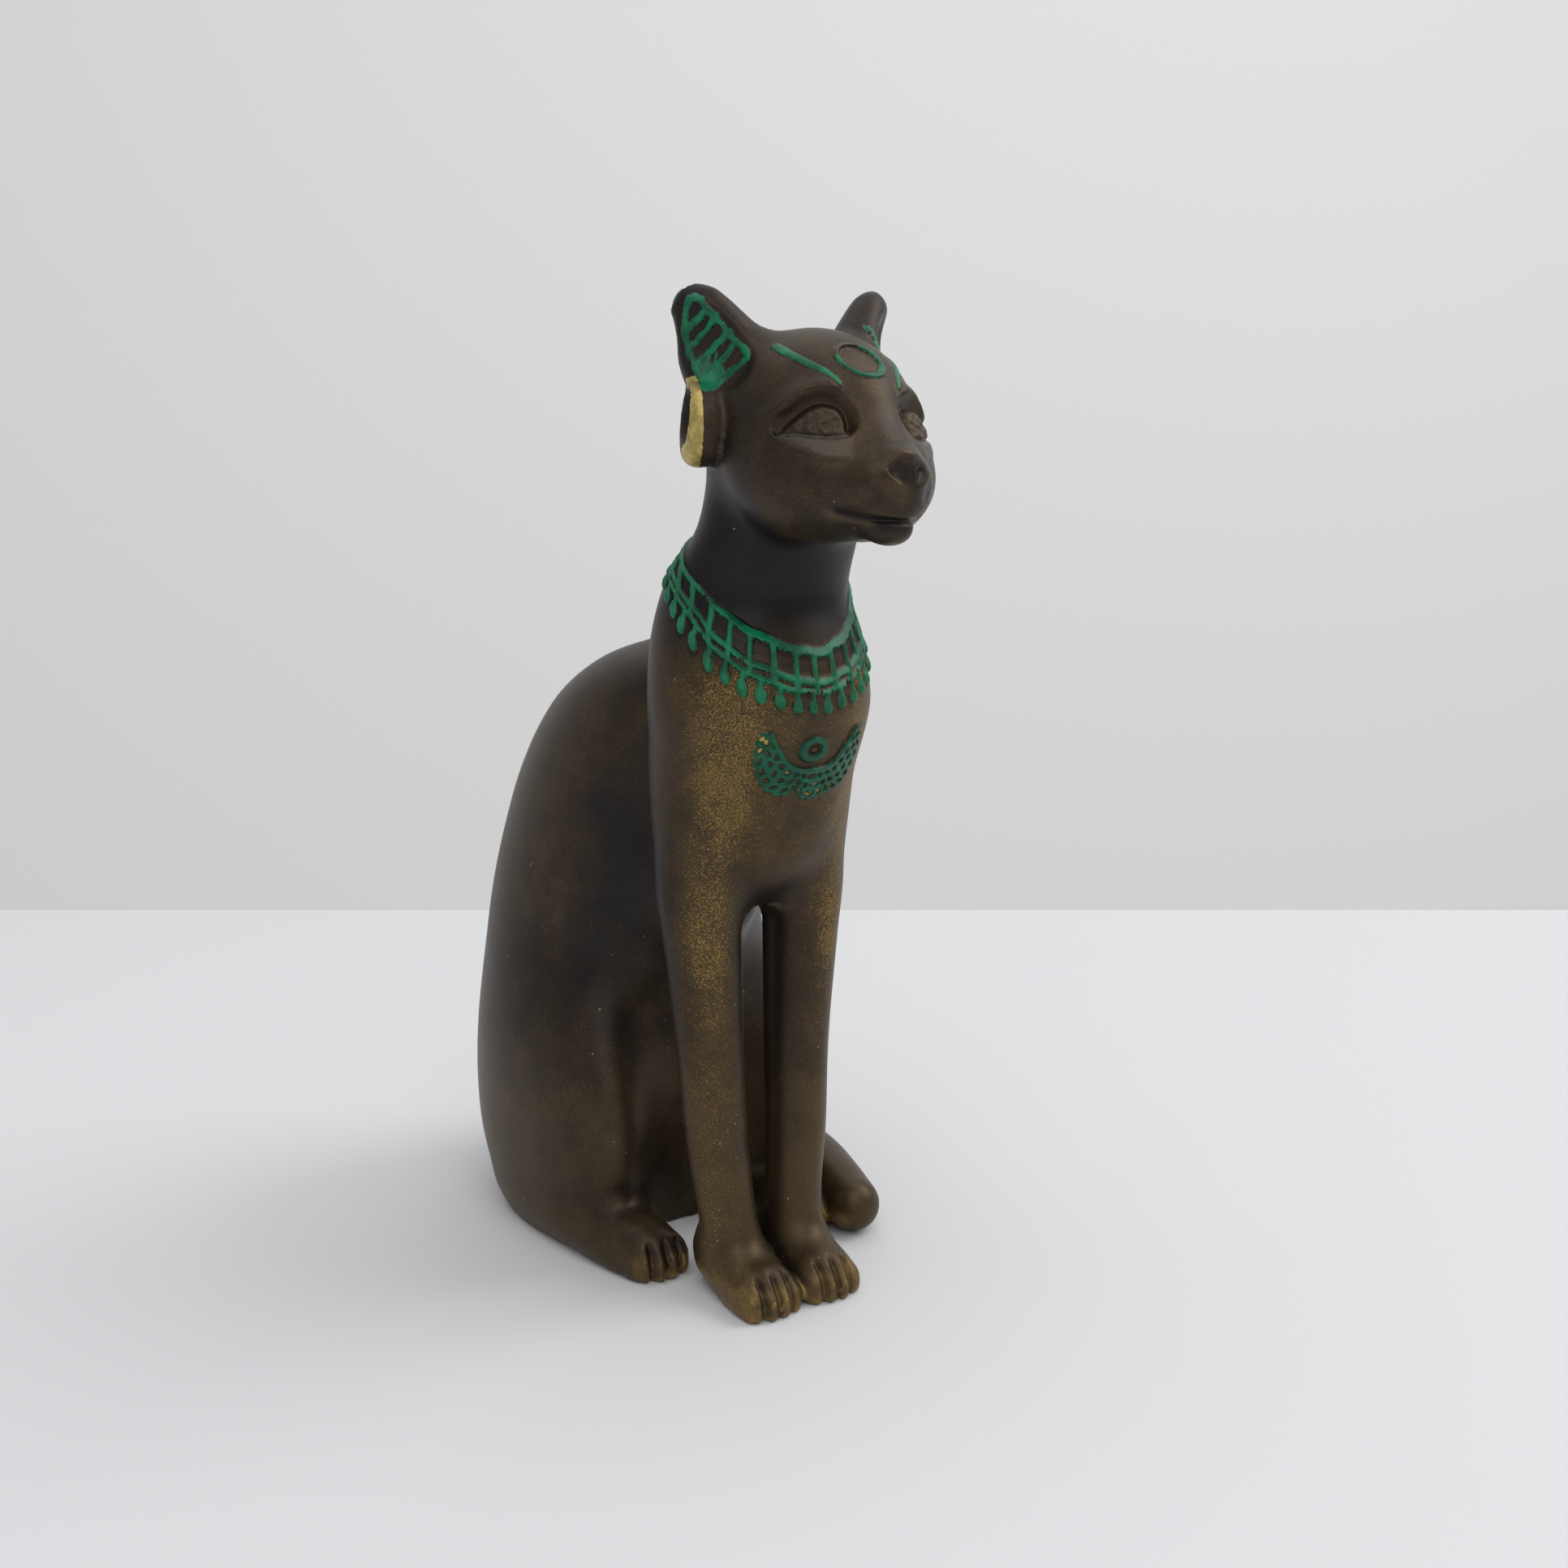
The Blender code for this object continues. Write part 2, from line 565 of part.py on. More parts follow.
def roughBlank():
    """All the masses as plain primitives in one mesh, ready for the voxel remesh."""
    mesh = bmesh.new()
    addLoft(mesh, rump, lambda a, b, along: (a, b, along))
    addLoft(mesh, chest, lambda a, b, along: (a, b, along))
    turns = [2 * math.pi * i / blankSegments for i in range(blankSegments)]
    for side in (1, -1):
        addLoft(mesh, foreleg, lambda a, b, along: (side * a, b, along))
        addLoft(mesh, forepaw, lambda a, b, along: (side * a, along, b))
        addLoft(mesh, hindFoot, lambda a, b, along: (side * a, along, b))
        addLoft(mesh, ear, seated(earSeat, side))
        onRing = seated(ringSeat, side)
        middle = ringRadius - ringSection[0]
        for t in turns:
            addBall(mesh, onRing(middle * math.cos(t), 0.0, middle * math.sin(t)), ringSection[0])
    for mass in (haunch, belly, skull, cheek, muzzle, jaw, lipPad, chin, noseTip):
        addMass(mesh, mass)
    addRod(mesh, *bridge)
    for *centre, radius in flowing(tail, tailSteps):
        addBall(mesh, centre, radius)
    bmesh.ops.recalc_face_normals(mesh, faces=mesh.faces)
    blank = bpy.data.meshes.new("blank")
    mesh.to_mesh(blank)
    mesh.free()
    return blank


def evaluated(obj):
    """The object's mesh with its modifiers applied."""
    graph = bpy.context.evaluated_depsgraph_get()
    return bpy.data.meshes.new_from_object(obj.evaluated_get(graph))


def pullOnto(mesh, form, steps):
    """Moves the vertices onto the form along its own slope."""
    points = np.empty(len(mesh.vertices) * 3)
    mesh.vertices.foreach_get("co", points)
    points = points.reshape(-1, 3)
    for _ in range(steps):
        d = form(points)
        rise = [form(points + shift) - form(points - shift) for shift in np.eye(3) * probe]
        slope = np.stack(rise, 1) / (2 * probe)
        size = np.maximum((slope ** 2).sum(1), leastSlope)
        points -= slope * np.clip(d / size, -longestStep, longestStep)[:, None]
    mesh.vertices.foreach_set("co", points.ravel())
    mesh.update()


def flatCut(mesh):
    """Cuts the mesh off at the ground and closes the underside flat."""
    work = bmesh.new()
    work.from_mesh(mesh)
    everything = list(work.verts) + list(work.edges) + list(work.faces)
    bmesh.ops.bisect_plane(work, geom=everything, plane_co=(0, 0, 0), plane_no=(0, 0, 1), clear_inner=True)
    rims = [edge for edge in work.edges if edge.is_boundary]
    bmesh.ops.holes_fill(work, edges=rims, sides=0)
    bmesh.ops.triangulate(work, faces=work.faces)
    work.to_mesh(mesh)
    work.free()


def castMaterial():
    material = bpy.data.materials.new("cast_bronze")
    material.use_nodes = True
    shader = material.node_tree.nodes["Principled BSDF"]
    shader.inputs["Base Color"].default_value = (0.048, 0.033, 0.021, 1.0)
    shader.inputs["Roughness"].default_value = 0.42
    shader.inputs["Metallic"].default_value = 0.35
    return material


def onScene(name, mesh):
    obj = bpy.data.objects.new(name, mesh)
    bpy.context.scene.collection.objects.link(obj)
    return obj


def remeshed(mesh, voxel):
    obj = onScene("cat_blank", mesh)
    remesh = obj.modifiers.new("Remesh", "REMESH")
    remesh.mode = "VOXEL"
    remesh.voxel_size = voxel
    result = evaluated(obj)
    bpy.data.objects.remove(obj)
    return result


def lightened(mesh):
    """The mesh at solidTriangles, with more of them left on the head."""
    obj = onScene("cat_fine", mesh)
    body = obj.vertex_groups.new(name="body")
    for v in mesh.vertices:
        body.add([v.index], 1.0 if v.co.z < neckHeight else headShare, "REPLACE")
    decimate = obj.modifiers.new("Decimate", "DECIMATE")
    decimate.vertex_group = body.name
    decimate.vertex_group_factor = headKeep
    mesh.calc_loop_triangles()
    decimate.ratio = solidTriangles / len(mesh.loop_triangles)
    result = evaluated(obj)
    bpy.data.objects.remove(obj)
    return result


def groundAndCentre(mesh):
    """Flattens the underside and moves the middle of the outline to the origin."""
    points = np.empty(len(mesh.vertices) * 3)
    mesh.vertices.foreach_get("co", points)
    points = points.reshape(-1, 3)
    points[points[:, 2] < flatBand, 2] = 0.0
    middle = (points.min(0) + points.max(0)) / 2
    points[:, :2] -= middle[:2]
    mesh.vertices.foreach_set("co", points.ravel())
    mesh.update()
    print("middle of the outline, in shares:", middle)


def buildCat(collection):
    solid = roughBlank()
    for voxel, steps in ((firstVoxel, firstSteps), (lastVoxel, lastSteps)):
        solid = remeshed(solid, voxel)
        pullOnto(solid, catForm, steps)
    flatCut(solid)
    solid = lightened(solid)
    groundAndCentre(solid)
    solid.name = "cat_figure"
    solid.transform(Matrix.Scale(figureHeight / heightShares, 4))
    solid.materials.clear()
    solid.materials.append(castMaterial())
    for polygon in solid.polygons:
        polygon.use_smooth = True
    cat = bpy.data.objects.new("cat_figure", solid)
    collection.objects.link(cat)
    return cat


for obj in list(bpy.data.objects):
    bpy.data.objects.remove(obj)
catCollection = bpy.data.collections.new("egyptian_cat_figurine")
bpy.context.scene.collection.children.link(catCollection)
buildCat(catCollection)
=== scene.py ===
import math

import bmesh
import bpy
import numpy as np
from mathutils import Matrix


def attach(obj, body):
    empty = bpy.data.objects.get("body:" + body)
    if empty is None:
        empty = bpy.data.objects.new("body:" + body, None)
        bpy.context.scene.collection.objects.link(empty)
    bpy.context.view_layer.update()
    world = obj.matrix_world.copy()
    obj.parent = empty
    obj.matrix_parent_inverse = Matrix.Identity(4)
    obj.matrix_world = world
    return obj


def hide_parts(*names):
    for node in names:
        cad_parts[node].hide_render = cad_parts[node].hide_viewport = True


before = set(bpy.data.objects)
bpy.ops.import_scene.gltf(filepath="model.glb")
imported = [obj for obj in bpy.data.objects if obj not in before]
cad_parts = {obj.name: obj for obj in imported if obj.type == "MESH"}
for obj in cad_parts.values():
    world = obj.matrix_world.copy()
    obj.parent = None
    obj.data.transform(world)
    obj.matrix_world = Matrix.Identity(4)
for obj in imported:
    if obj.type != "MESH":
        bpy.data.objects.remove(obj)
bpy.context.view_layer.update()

# Egyptian cat figurine: the cast body with its fine relief, the painted ornaments, floor, light and camera.
# Measures are in shares, 147.8 of them from the ground to the ear tips, as in the part's own source.

# metres in a share, and the shares' point that stands above the origin
scale = {"share": 0.150 / 147.8, "middle": (3.0593, 4.4645)}


# the form, as distances

def turnAboutZ(degrees):
    c = math.cos(math.radians(degrees))
    s = math.sin(math.radians(degrees))
    return np.array([[c, -s, 0.0], [s, c, 0.0], [0.0, 0.0, 1.0]])


def seatAxes(seat):
    # the seat's own across, up and outward directions, as columns
    out = np.array(seat[1], float)
    out /= np.linalg.norm(out)
    up = np.array(seat[2], float)
    up -= out * (up @ out)
    up /= np.linalg.norm(up)
    return np.stack([np.cross(up, out), up, out], 1)


def onSeat(m, seat):
    return (m - np.array(seat[0])) @ seatAxes(seat)


def ramp(value, low, high):
    t = np.clip((value - low) / (high - low), 0, 1)
    return t * t * (3 - 2 * t)


def inside(value, low, high):
    return (value > low) & (value < high)


def join(a, b, width):
    # union of two forms with a fillet of about the given width
    h = np.maximum(width - np.abs(a - b), 0) / width
    return np.minimum(a, b) - h * h * width * 0.25


def cut(a, b, width):
    return -join(-a, b, width)


def massForm(p, mass):
    centre, half, turn = mass[:3]
    q = (p - np.array(centre)) @ turnAboutZ(turn)
    r = np.array(half)
    far = np.linalg.norm(q / r, axis=1)
    slope = np.linalg.norm(q / (r * r), axis=1)
    return far * (far - 1) / np.maximum(slope, 1e-9)


def rodForm(p, a, b, radiusA, radiusB):
    a = np.array(a, float)
    along = np.array(b, float) - a
    t = np.clip(((p - a) @ along) / (along @ along), 0, 1)
    return np.linalg.norm(p - a - t[:, None] * along, axis=1) - (radiusA + (radiusB - radiusA) * t)


def between(places, known, values):
    # values at the places, on a smooth curve through the known ones
    gap = np.diff(known)
    rise = np.diff(values) / gap
    inner = (rise[:-1] * gap[1:] + rise[1:] * gap[:-1]) / (gap[1:] + gap[:-1])
    slope = np.concatenate([rise[:1], inner, rise[-1:]])
    i = np.clip(np.searchsorted(known, places, "right") - 1, 0, len(gap) - 1)
    t = (places - known[i]) / gap[i]
    u = 1 - t
    start = values[i] * (1 + 2 * t) * u * u + slope[i] * gap[i] * t * u * u
    return start + values[i + 1] * t * t * (3 - 2 * t) - slope[i + 1] * gap[i] * t * t * u


def evened(rows, reach):
    # rows sampled finely and evened by a running average, so that they flow
    rows = np.array(sorted(rows), float)
    step = 0.25
    places = np.arange(rows[0, 0], rows[-1, 0] + step / 2, step)
    count = int(reach / step) | 1
    weights = np.hanning(count + 2)[1:-1]
    weights /= weights.sum()
    half = count // 2
    columns = []
    for column in (1, 2, 3, 4):
        c = between(places, rows[:, 0], rows[:, column])
        before = 2 * c[0] - c[1:half + 1][::-1]
        after = 2 * c[-1] - c[-half - 1:-1][::-1]
        columns.append(np.convolve(np.concatenate([before, c, after]), weights, "valid"))
    return places, columns


def rowsForm(p, rows, reach):
    # distance to the form that the rows give; p holds across, across and along
    places, (centreA, centreB, halfA, halfB) = evened(rows, reach)
    along = np.clip(p[:, 2], places[0], places[-1])
    ca, cb, a, b = (np.interp(along, places, v) for v in (centreA, centreB, halfA, halfB))
    slope = np.interp(along, places, np.gradient((halfA + halfB) / 2, places))
    x = p[:, 0] - ca
    y = p[:, 1] - cb
    far = np.hypot(x / a, y / b)
    steep = np.hypot(x / a ** 2, y / b ** 2)
    side = np.where(far > 1e-6, far * (far - 1) / np.maximum(steep, 1e-9), -np.minimum(a, b))
    side /= np.sqrt(1 + slope ** 2)
    beyond = np.abs(p[:, 2] - along)
    return np.where(beyond > 0, np.hypot(np.maximum(side, 0), beyond), side)


def flowing(points, steps):
    # more points on a smooth curve through the given ones
    points = np.array(points, float)
    ends = np.vstack([2 * points[0] - points[1], points, 2 * points[-1] - points[-2]])
    result = []
    for i in range(1, len(ends) - 2):
        before, a, b, after = ends[i - 1:i + 3]
        for t in np.arange(steps) / steps:
            bend = (2 * before - 5 * a + 4 * b - after) * t ** 2 + (3 * a - before - 3 * b + after) * t ** 3
            result.append(a + 0.5 * ((b - before) * t + bend))
    return np.array(result + [points[-1]])


def within(p, keep, form, away=30.0):
    # the form where keep is true, and a far distance elsewhere
    d = np.full(len(p), away)
    if keep.any():
        d[keep] = form(p[keep])
    return d


def mirrored(p):
    # both sides on the left one, with no crease at the middle
    m = p.copy()
    m[:, 0] = np.sqrt(m[:, 0] ** 2 + 0.2)
    return m


trunk = {
    "rump": [
        (-4, 0, 28.5, 18.5, 17.0), (0, 0, 29.4, 20.8, 18.6), (6, 0, 31.6, 22.8, 20.6),
        (12, 0, 32.8, 23.8, 22.2), (20, 0, 33.0, 24.2, 24.0), (30, 0, 32.6, 24.0, 25.4),
        (45, 0, 30.6, 22.8, 26.0), (56, 0, 28.4, 21.6, 26.8), (65, 0, 26.0, 20.2, 26.8),
        (75, 0, 22.6, 18.4, 26.0), (83, 0, 18.8, 16.4, 24.2), (88, 0, 15.6, 14.6, 22.4),
        (91.5, 0, 12.8, 12.6, 19.8), (94, 0, 11.4, 10.0, 16.4), (96, 0, 10.6, 7.0, 12.0),
        (97.4, 0, 10.4, 3.0, 5.5),
    ],
    "chest": [
        (59, 0, -11.0, 4.0, 3.0), (62, 0, -11.0, 9.0, 7.0), (67, 0, -11.4, 12.6, 10.4),
        (73, 0, -11.6, 14.6, 12.2), (79, 0, -12.0, 15.5, 13.3), (85, 0, -13.2, 16.5, 14.3),
        (91, 0, -13.9, 17.0, 14.9), (95, 0, -13.3, 16.5, 14.6), (100, 0, -12.6, 15.5, 14.0),
        (104, 0, -12.1, 14.2, 12.8), (108, 0, -13.6, 13.5, 12.2), (111, 0, -16.2, 12.6, 11.5),
        (113, 0, -18.0, 12.0, 11.0), (115, 0, -19.0, 11.7, 10.8), (126, 0, -21.5, 10.8, 10.4),
        (131, 0, -22.6, 9.6, 9.4), (135, 0, -23.4, 7.4, 7.4),
    ],
    "haunch": ((13.6, 21.5, 20.0), (10.4, 20.0, 24.0), 6),
    "belly": ((0.0, 4.0, 61.0), (10.5, 10.0, 13.0), 0),
    "rumpEven": 6, "chestEven": 9,
}
limbs = {
    "foreleg": [
        (4, 5.4, -14.8, 4.4, 5.0), (14, 6.3, -13.4, 4.4, 4.5), (22, 7.1, -12.8, 4.7, 4.7),
        (35, 7.7, -12.0, 5.0, 5.0), (54, 8.8, -11.5, 5.8, 6.0), (62, 9.3, -11.3, 6.3, 6.4),
        (70, 9.2, -11.2, 5.9, 6.9), (82, 8.6, -11.0, 5.0, 7.0),
    ],
    "forepaw": [
        (-27.3, 5.1, 1.2, 1.6, 1.4), (-26.6, 5.2, 1.4, 3.9, 2.8), (-24.5, 5.3, 1.8, 5.0, 4.2),
        (-21, 5.5, 2.4, 5.2, 4.7), (-17, 5.6, 3.4, 4.8, 5.0), (-12, 5.6, 4.8, 4.4, 4.6),
        (-9, 5.6, 5.5, 3.8, 4.0),
    ],
    "hindFoot": [
        (-7.6, 12.6, 1.4, 2.0, 2.0), (-6.2, 12.8, 1.8, 4.4, 4.0), (-3, 13.5, 2.4, 5.3, 5.2),
        (2, 14.6, 3.2, 5.9, 5.4), (10, 15.7, 4.2, 6.7, 5.6), (20, 16.0, 4.6, 7.0, 6.0),
        (34, 15.5, 5.0, 6.5, 5.5),
    ],
    "tail": [
        (-9, 40, 11, 6.0), (2, 49.5, 8, 6.4), (11.5, 50.6, 6.4, 6.4), (19.5, 44.5, 5.8, 6.2),
        (24.4, 34, 5.5, 5.9), (26.3, 21, 5.2, 5.5), (25.6, 9, 5.0, 5.2), (23.6, 0, 4.8, 4.9),
        (21.6, -8.3, 4.4, 4.4),
    ],
    "legEven": 6, "footEven": 3,
    # toes: across from the middle, where the grooves start, and where the toes round off
    "foreToes": (5.3, 21.5, 24.4), "hindToes": (13.0, 1.0, 4.6),
    "toeSpacing": 2.3, "toeWidth": 0.5, "toeDepth": 0.8, "toeRound": 0.35,
}
fillets = {
    "haunch": 9, "belly": 6, "hindFoot": 3.5, "tail": 2.2, "foreleg": 4, "forepaw": 3,
    "halves": 2.5, "neck": 3, "ear": 3.5, "earDish": 1.2, "ring": 0.6, "ground": 0.4,
}


def tailForm(p):
    path = flowing(limbs["tail"], 4)
    bar = np.full(len(p), 30.0)
    for a, b in zip(path[:-1], path[1:]):
        bar = np.minimum(bar, rodForm(p, a[:3], b[:3], a[3], b[3]))
    return bar


def hindForm(p):
    m = mirrored(p)
    d = rowsForm(p, trunk["rump"], trunk["rumpEven"])
    d = join(d, massForm(m, trunk["haunch"]), fillets["haunch"])
    d = join(d, massForm(p, trunk["belly"]), fillets["belly"])
    d = join(d, rowsForm(m[:, [0, 2, 1]], limbs["hindFoot"], limbs["footEven"]), fillets["hindFoot"])
    return join(d, within(p, p[:, 2] < 22, tailForm), fillets["tail"])


def foreForm(p):
    m = mirrored(p)
    d = rowsForm(p, trunk["chest"], trunk["chestEven"])
    d = join(d, rowsForm(m, limbs["foreleg"], limbs["legEven"]), fillets["foreleg"])
    return join(d, rowsForm(m[:, [0, 2, 1]], limbs["forepaw"], limbs["footEven"]), fillets["forepaw"])


def toLine(q, a, b):
    # distance to a straight line, and how far along it
    a = np.array(a, float)
    along = np.array(b, float) - a
    t = np.clip(((q - a) @ along) / (along @ along), 0, 1)
    return np.linalg.norm(q - a - t[:, None] * along, axis=1), t


def toPath(q, points):
    # nearest distance from flat points to a smooth path
    path = flowing(points, 3)
    nearest = np.full(len(q), 30.0)
    for a, b in zip(path[:-1], path[1:]):
        nearest = np.minimum(nearest, toLine(q, a, b)[0])
    return nearest


eye = {
    "seat": ((8.8, -38.6, 127.6), (0.50, -0.86, 0.06), (0, 0, 1)),
    # lids and the lower edge of the shelf under the eye: across from the middle of the eye, and up
    "upper": [
        (-5.3, -1.6), (-5.15, 0.2), (-4.7, 1.4), (-3.8, 2.3), (-2.4, 2.65), (-1.1, 2.6), (0.2, 2.0),
        (1.5, 1.0), (2.7, -0.1), (3.8, -1.6),
    ],
    "lower": [
        (-5.3, -1.7), (-4.4, -1.9), (-2.9, -2.05), (-0.5, -1.95), (1.9, -1.6), (3.8, -1.6),
    ],
    "shelf": [
        (-5.3, -4.7), (-2.8, -4.7), (-0.9, -4.2), (1.1, -3.3), (2.8, -2.4), (3.8, -1.9),
    ],
    "coveWidth": 2.0, "coveDepth": 0.8, "ballRise": 1.05, "ballEdge": 0.95, "browRise": 0.8, "browWidth": 1.1,
    "shelfRise": 0.25, "lineRise": 0.12, "wrinkle": 0.1,
}


def lidLine(q, name):
    # signed distance to a lid, positive under it, and negative beyond its ends
    path = flowing(eye[name], 3)
    under = inside(q[:, 0], path[0, 0], path[-1, 0]) & (np.interp(q[:, 0], path[:, 0], path[:, 1]) > q[:, 1])
    return toPath(q, eye[name]) * np.where(under, 1, -1)


def eyePlace(m):
    # points near an eye, their distances under the upper lid and over the lower one, and the shelf below it
    q = onSeat(m, eye["seat"])
    near = (np.abs(q[:, 0] + 0.8) < 8) & (np.abs(q[:, 1]) < 8) & (np.abs(q[:, 2]) < 8)
    q = q[near][:, :2]
    under = lidLine(q, "upper")
    lower = np.array(eye["lower"])
    places = np.clip(q[:, 0], lower[0, 0], lower[-1, 0])
    over = q[:, 1] - between(places, lower[:, 0], lower[:, 1]) - np.abs(q[:, 0] - places)
    known = np.array(eye["shelf"])
    low = between(np.clip(q[:, 0], known[0, 0], known[-1, 0]), known[:, 0], known[:, 1])
    shelf = ramp(-over, -0.2, 0.3) * ramp(q[:, 1] - low, -0.5, 0.4)
    shelf = shelf * ramp(-np.abs(q[:, 0] + 0.75), -5.2, -4.2)
    return near, q, under, over, shelf


def eyeLift(m):
    # cove under the brow, eyeball with a groove round it, and the shelf under the lower lid
    e = eye
    lift = np.zeros(len(m))
    near, q, under, over, shelf = eyePlace(m)
    u = np.clip(np.minimum(under, over + 0.15) / e["ballEdge"], 0, 1)
    cove = ramp(under, -e["coveWidth"], 0.3) * ramp(over, -0.6, 0.8)
    rise = e["ballRise"] * u * u * (3 - 2 * u) - e["coveDepth"] * cove * (1 + 0.3 * ramp(-q[:, 0], 2, 4))
    across = np.sin(3.1 * q[:, 0] + 2.0 * np.sin(1.7 * q[:, 1]) + 0.6)
    rise += e["wrinkle"] * across * np.sin(2.3 * q[:, 1] - 0.9 * q[:, 0]) * ramp(u, 0.3, 1.0)
    rise += e["lineRise"] * np.exp(-(over / 0.2) ** 2) * ramp(-np.abs(q[:, 0] + 1.2), -3.8, -3.0)
    browLine = np.exp(-((under + e["coveWidth"] + 0.2) / e["browWidth"]) ** 2)
    rise += e["browRise"] * browLine * ramp(q[:, 1], 0.0, 2.0) * ramp(q[:, 0], -5.5, -2.5)
    lift[near] = rise + e["shelfRise"] * shelf
    return lift


head = {
    # masses: centre, half widths, turn about Z, and fillet
    "skull": ((0.0, -27.0, 127.8), (14.0, 14.5, 13.3), 0, 3),
    "cheek": ((6.0, -33.0, 120.8), (7.2, 10.0, 7.6), 0, 5),
    "jaw": ((0.0, -38.5, 117.4), (6.4, 9.2, 4.4), 0, 4),
    "muzzle": ((2.4, -39.9, 121.0), (4.6, 6.8, 4.6), -8, 4),
    "lipPad": ((2.4, -43.8, 120.3), (3.2, 4.1, 2.6), -14, 2.6),
    "chin": ((0.0, -44.5, 114.4), (3.1, 3.4, 2.2), 0, 1.5),
    "noseTip": ((0.0, -46.1, 122.3), (2.8, 2.1, 1.9), 0, 1.4),
    "bridge": ((0.0, -36.3, 128.6), (0.0, -45.1, 122.0), 4.6, 2.4),
    "bridgeFillet": 4,
    "mouthHeight": 115.7, "mouthCurve": 0.027, "mouthHalf": 7.6, "mouthFade": 1.1, "mouthDepth": 0.35,
    "lipRecess": 0.2, "lowerLip": 4.5, "lipRoll": 0.12, "corner": (6.6, 1.3, 0.8, 0.2),
    # nose leather: half width, middle height, and how far it goes up and down
    "nose": (3.3, 122.6, 1.4, 3.0), "noseRidge": 0.24, "noseTop": 0.4, "noseGroove": 0.28,
    "nostril": (2.1, 121.7, 0.8, 0.25),
    "lipHollow": (3.9, 118.9, 1.2, 0.4),
}


def noseLift(x, z):
    # small ridge round the outer side of each nostril, and the bump on the tip
    half, middle, above, below = head["nose"]
    tall = np.where(z > middle, above, below)
    off = (((x / half) ** 2.2 + (np.abs(z - middle) / tall) ** 2.2) ** (1 / 2.2) - 1) * 2.8
    outer = ramp(middle - z, 0.3, 1.1) * ramp(x, 0.6, 1.8)
    lift = head["noseRidge"] * np.exp(-((off - 0.15) / 0.42) ** 2) * outer
    lift += head["noseTop"] * np.exp(-((z - middle - above) / 0.7) ** 2 - (x / 1.9) ** 2)
    lift -= head["noseGroove"] * np.exp(-((off + 0.7) / 0.7) ** 2) * outer
    nx, nz, size, depth = head["nostril"]
    lift -= depth * np.exp(-((x - nx) ** 2 + (z - nz) ** 2) / size ** 2)
    ax, az, size, depth = head["lipHollow"]
    return lift - depth * np.exp(-((x - ax) ** 2 + (z - az) ** 2) / size ** 2)


def mouthOff(x, z):
    # height above the slit, and where the mouth runs
    h = head
    off = z - h["mouthHeight"] - h["mouthCurve"] * x * x
    return off, ramp(-x, -h["mouthHalf"] - 0.6, -h["mouthHalf"] + 2.2)


def mouthLift(x, z):
    # the lower lip is set back under the upper one, most of all at the sides
    h = head
    off, along = mouthOff(x, z)
    recess = ramp(-off, -0.15, 0.6) * ramp(off, -h["lowerLip"], -1.5) * (0.3 + 0.7 * ramp(x, 0.6, 3.0))
    under = ramp(-off, -0.2, 0.35) * ramp(off, -h["mouthFade"], -0.3)
    lift = -h["mouthDepth"] * under - h["lipRecess"] * recess
    lift += h["lipRoll"] * np.exp(-((off - 0.75) / 0.7) ** 2)
    cx, wide, tall, depth = h["corner"]
    return lift * along - depth * np.exp(-((x - cx) / wide) ** 2 - (off / tall) ** 2)


def faceLift(p):
    m = mirrored(p)
    lift = eyeLift(m) * ramp(-p[:, 1], 30, 32)
    lift += noseLift(m[:, 0], p[:, 2]) * ramp(-p[:, 1], 42, 46)
    return lift + mouthLift(m[:, 0], p[:, 2]) * ramp(-p[:, 1], 38, 40)


def headForm(p):
    m = mirrored(p)
    h = head
    d = massForm(p, h["skull"])
    for name in ("cheek", "muzzle"):
        d = join(d, massForm(m, h[name]), h[name][3])
    d = join(d, massForm(p, h["jaw"]), h["jaw"][3])
    d = join(d, rodForm(p, *h["bridge"]), h["bridgeFillet"])
    for name in ("lipPad", "chin", "noseTip"):
        d = join(d, massForm(m, h[name]), h[name][3])
    return d - faceLift(p) - browRelief(p)[0]


earring = {
    "seat": ((14.85, -21.7, 128.2), (0.925, 0.38, 0.0), (0, 0, 1)),
    # the hole is smaller than the ring and sits higher, so that the ring is heavier below
    "radius": 5.65, "hole": 3.15, "holeUp": 1.2, "front": 1.8, "back": 3.6, "webSink": 1.9, "webHalf": 0.8,
}


def ringPlace(m):
    # outward place on the ring, how far inside its rim, and how far from its hole
    e = earring
    q = onSeat(m, e["seat"])
    fromRim = e["radius"] - np.hypot(q[:, 0], q[:, 1])
    return q[:, 2], fromRim, np.hypot(q[:, 0], q[:, 1] - e["holeUp"]) - e["hole"]


def ringForm(p):
    e = earring
    through, fromRim, fromHole = ringPlace(mirrored(p))
    half = (fromRim + fromHole) / 2
    deep = np.where(through > 0, through / (e["front"] * np.sqrt(half / 1.3)), through / e["back"])
    ring = (np.hypot((fromHole - fromRim) / (2 * half), deep) - 1) * 1.3
    gap = np.maximum(np.abs(through + e["webSink"]) - e["webHalf"], 0)
    web = np.hypot(np.maximum(1.4 - fromRim, 0), gap) - 0.1
    return np.minimum(ring, web)


# relief, each as a rise and a paint mark

def ridge(off, half):
    return np.clip(1 - (off / half) ** 2, 0, 1) ** 0.6


collar = {
    "tilt": 0.9, "middle": -13.0,
    "rim": 122.5, "rowA": 119.4, "rowB": 118.1, "drop": 116.0,
    "bars": 30, "barTurn": 0.2, "drops": 39, "dropTurn": -2.7,
    "rimHalf": 0.4, "rowHalf": 0.4, "barHalf": 0.45, "stemHalf": 0.42, "ballHalf": 0.9, "rise": 0.5,
    "ballRise": 0.25, "bandRise": 0.12, "waves": (0.14, 0.09), "slant": 0.6,
}


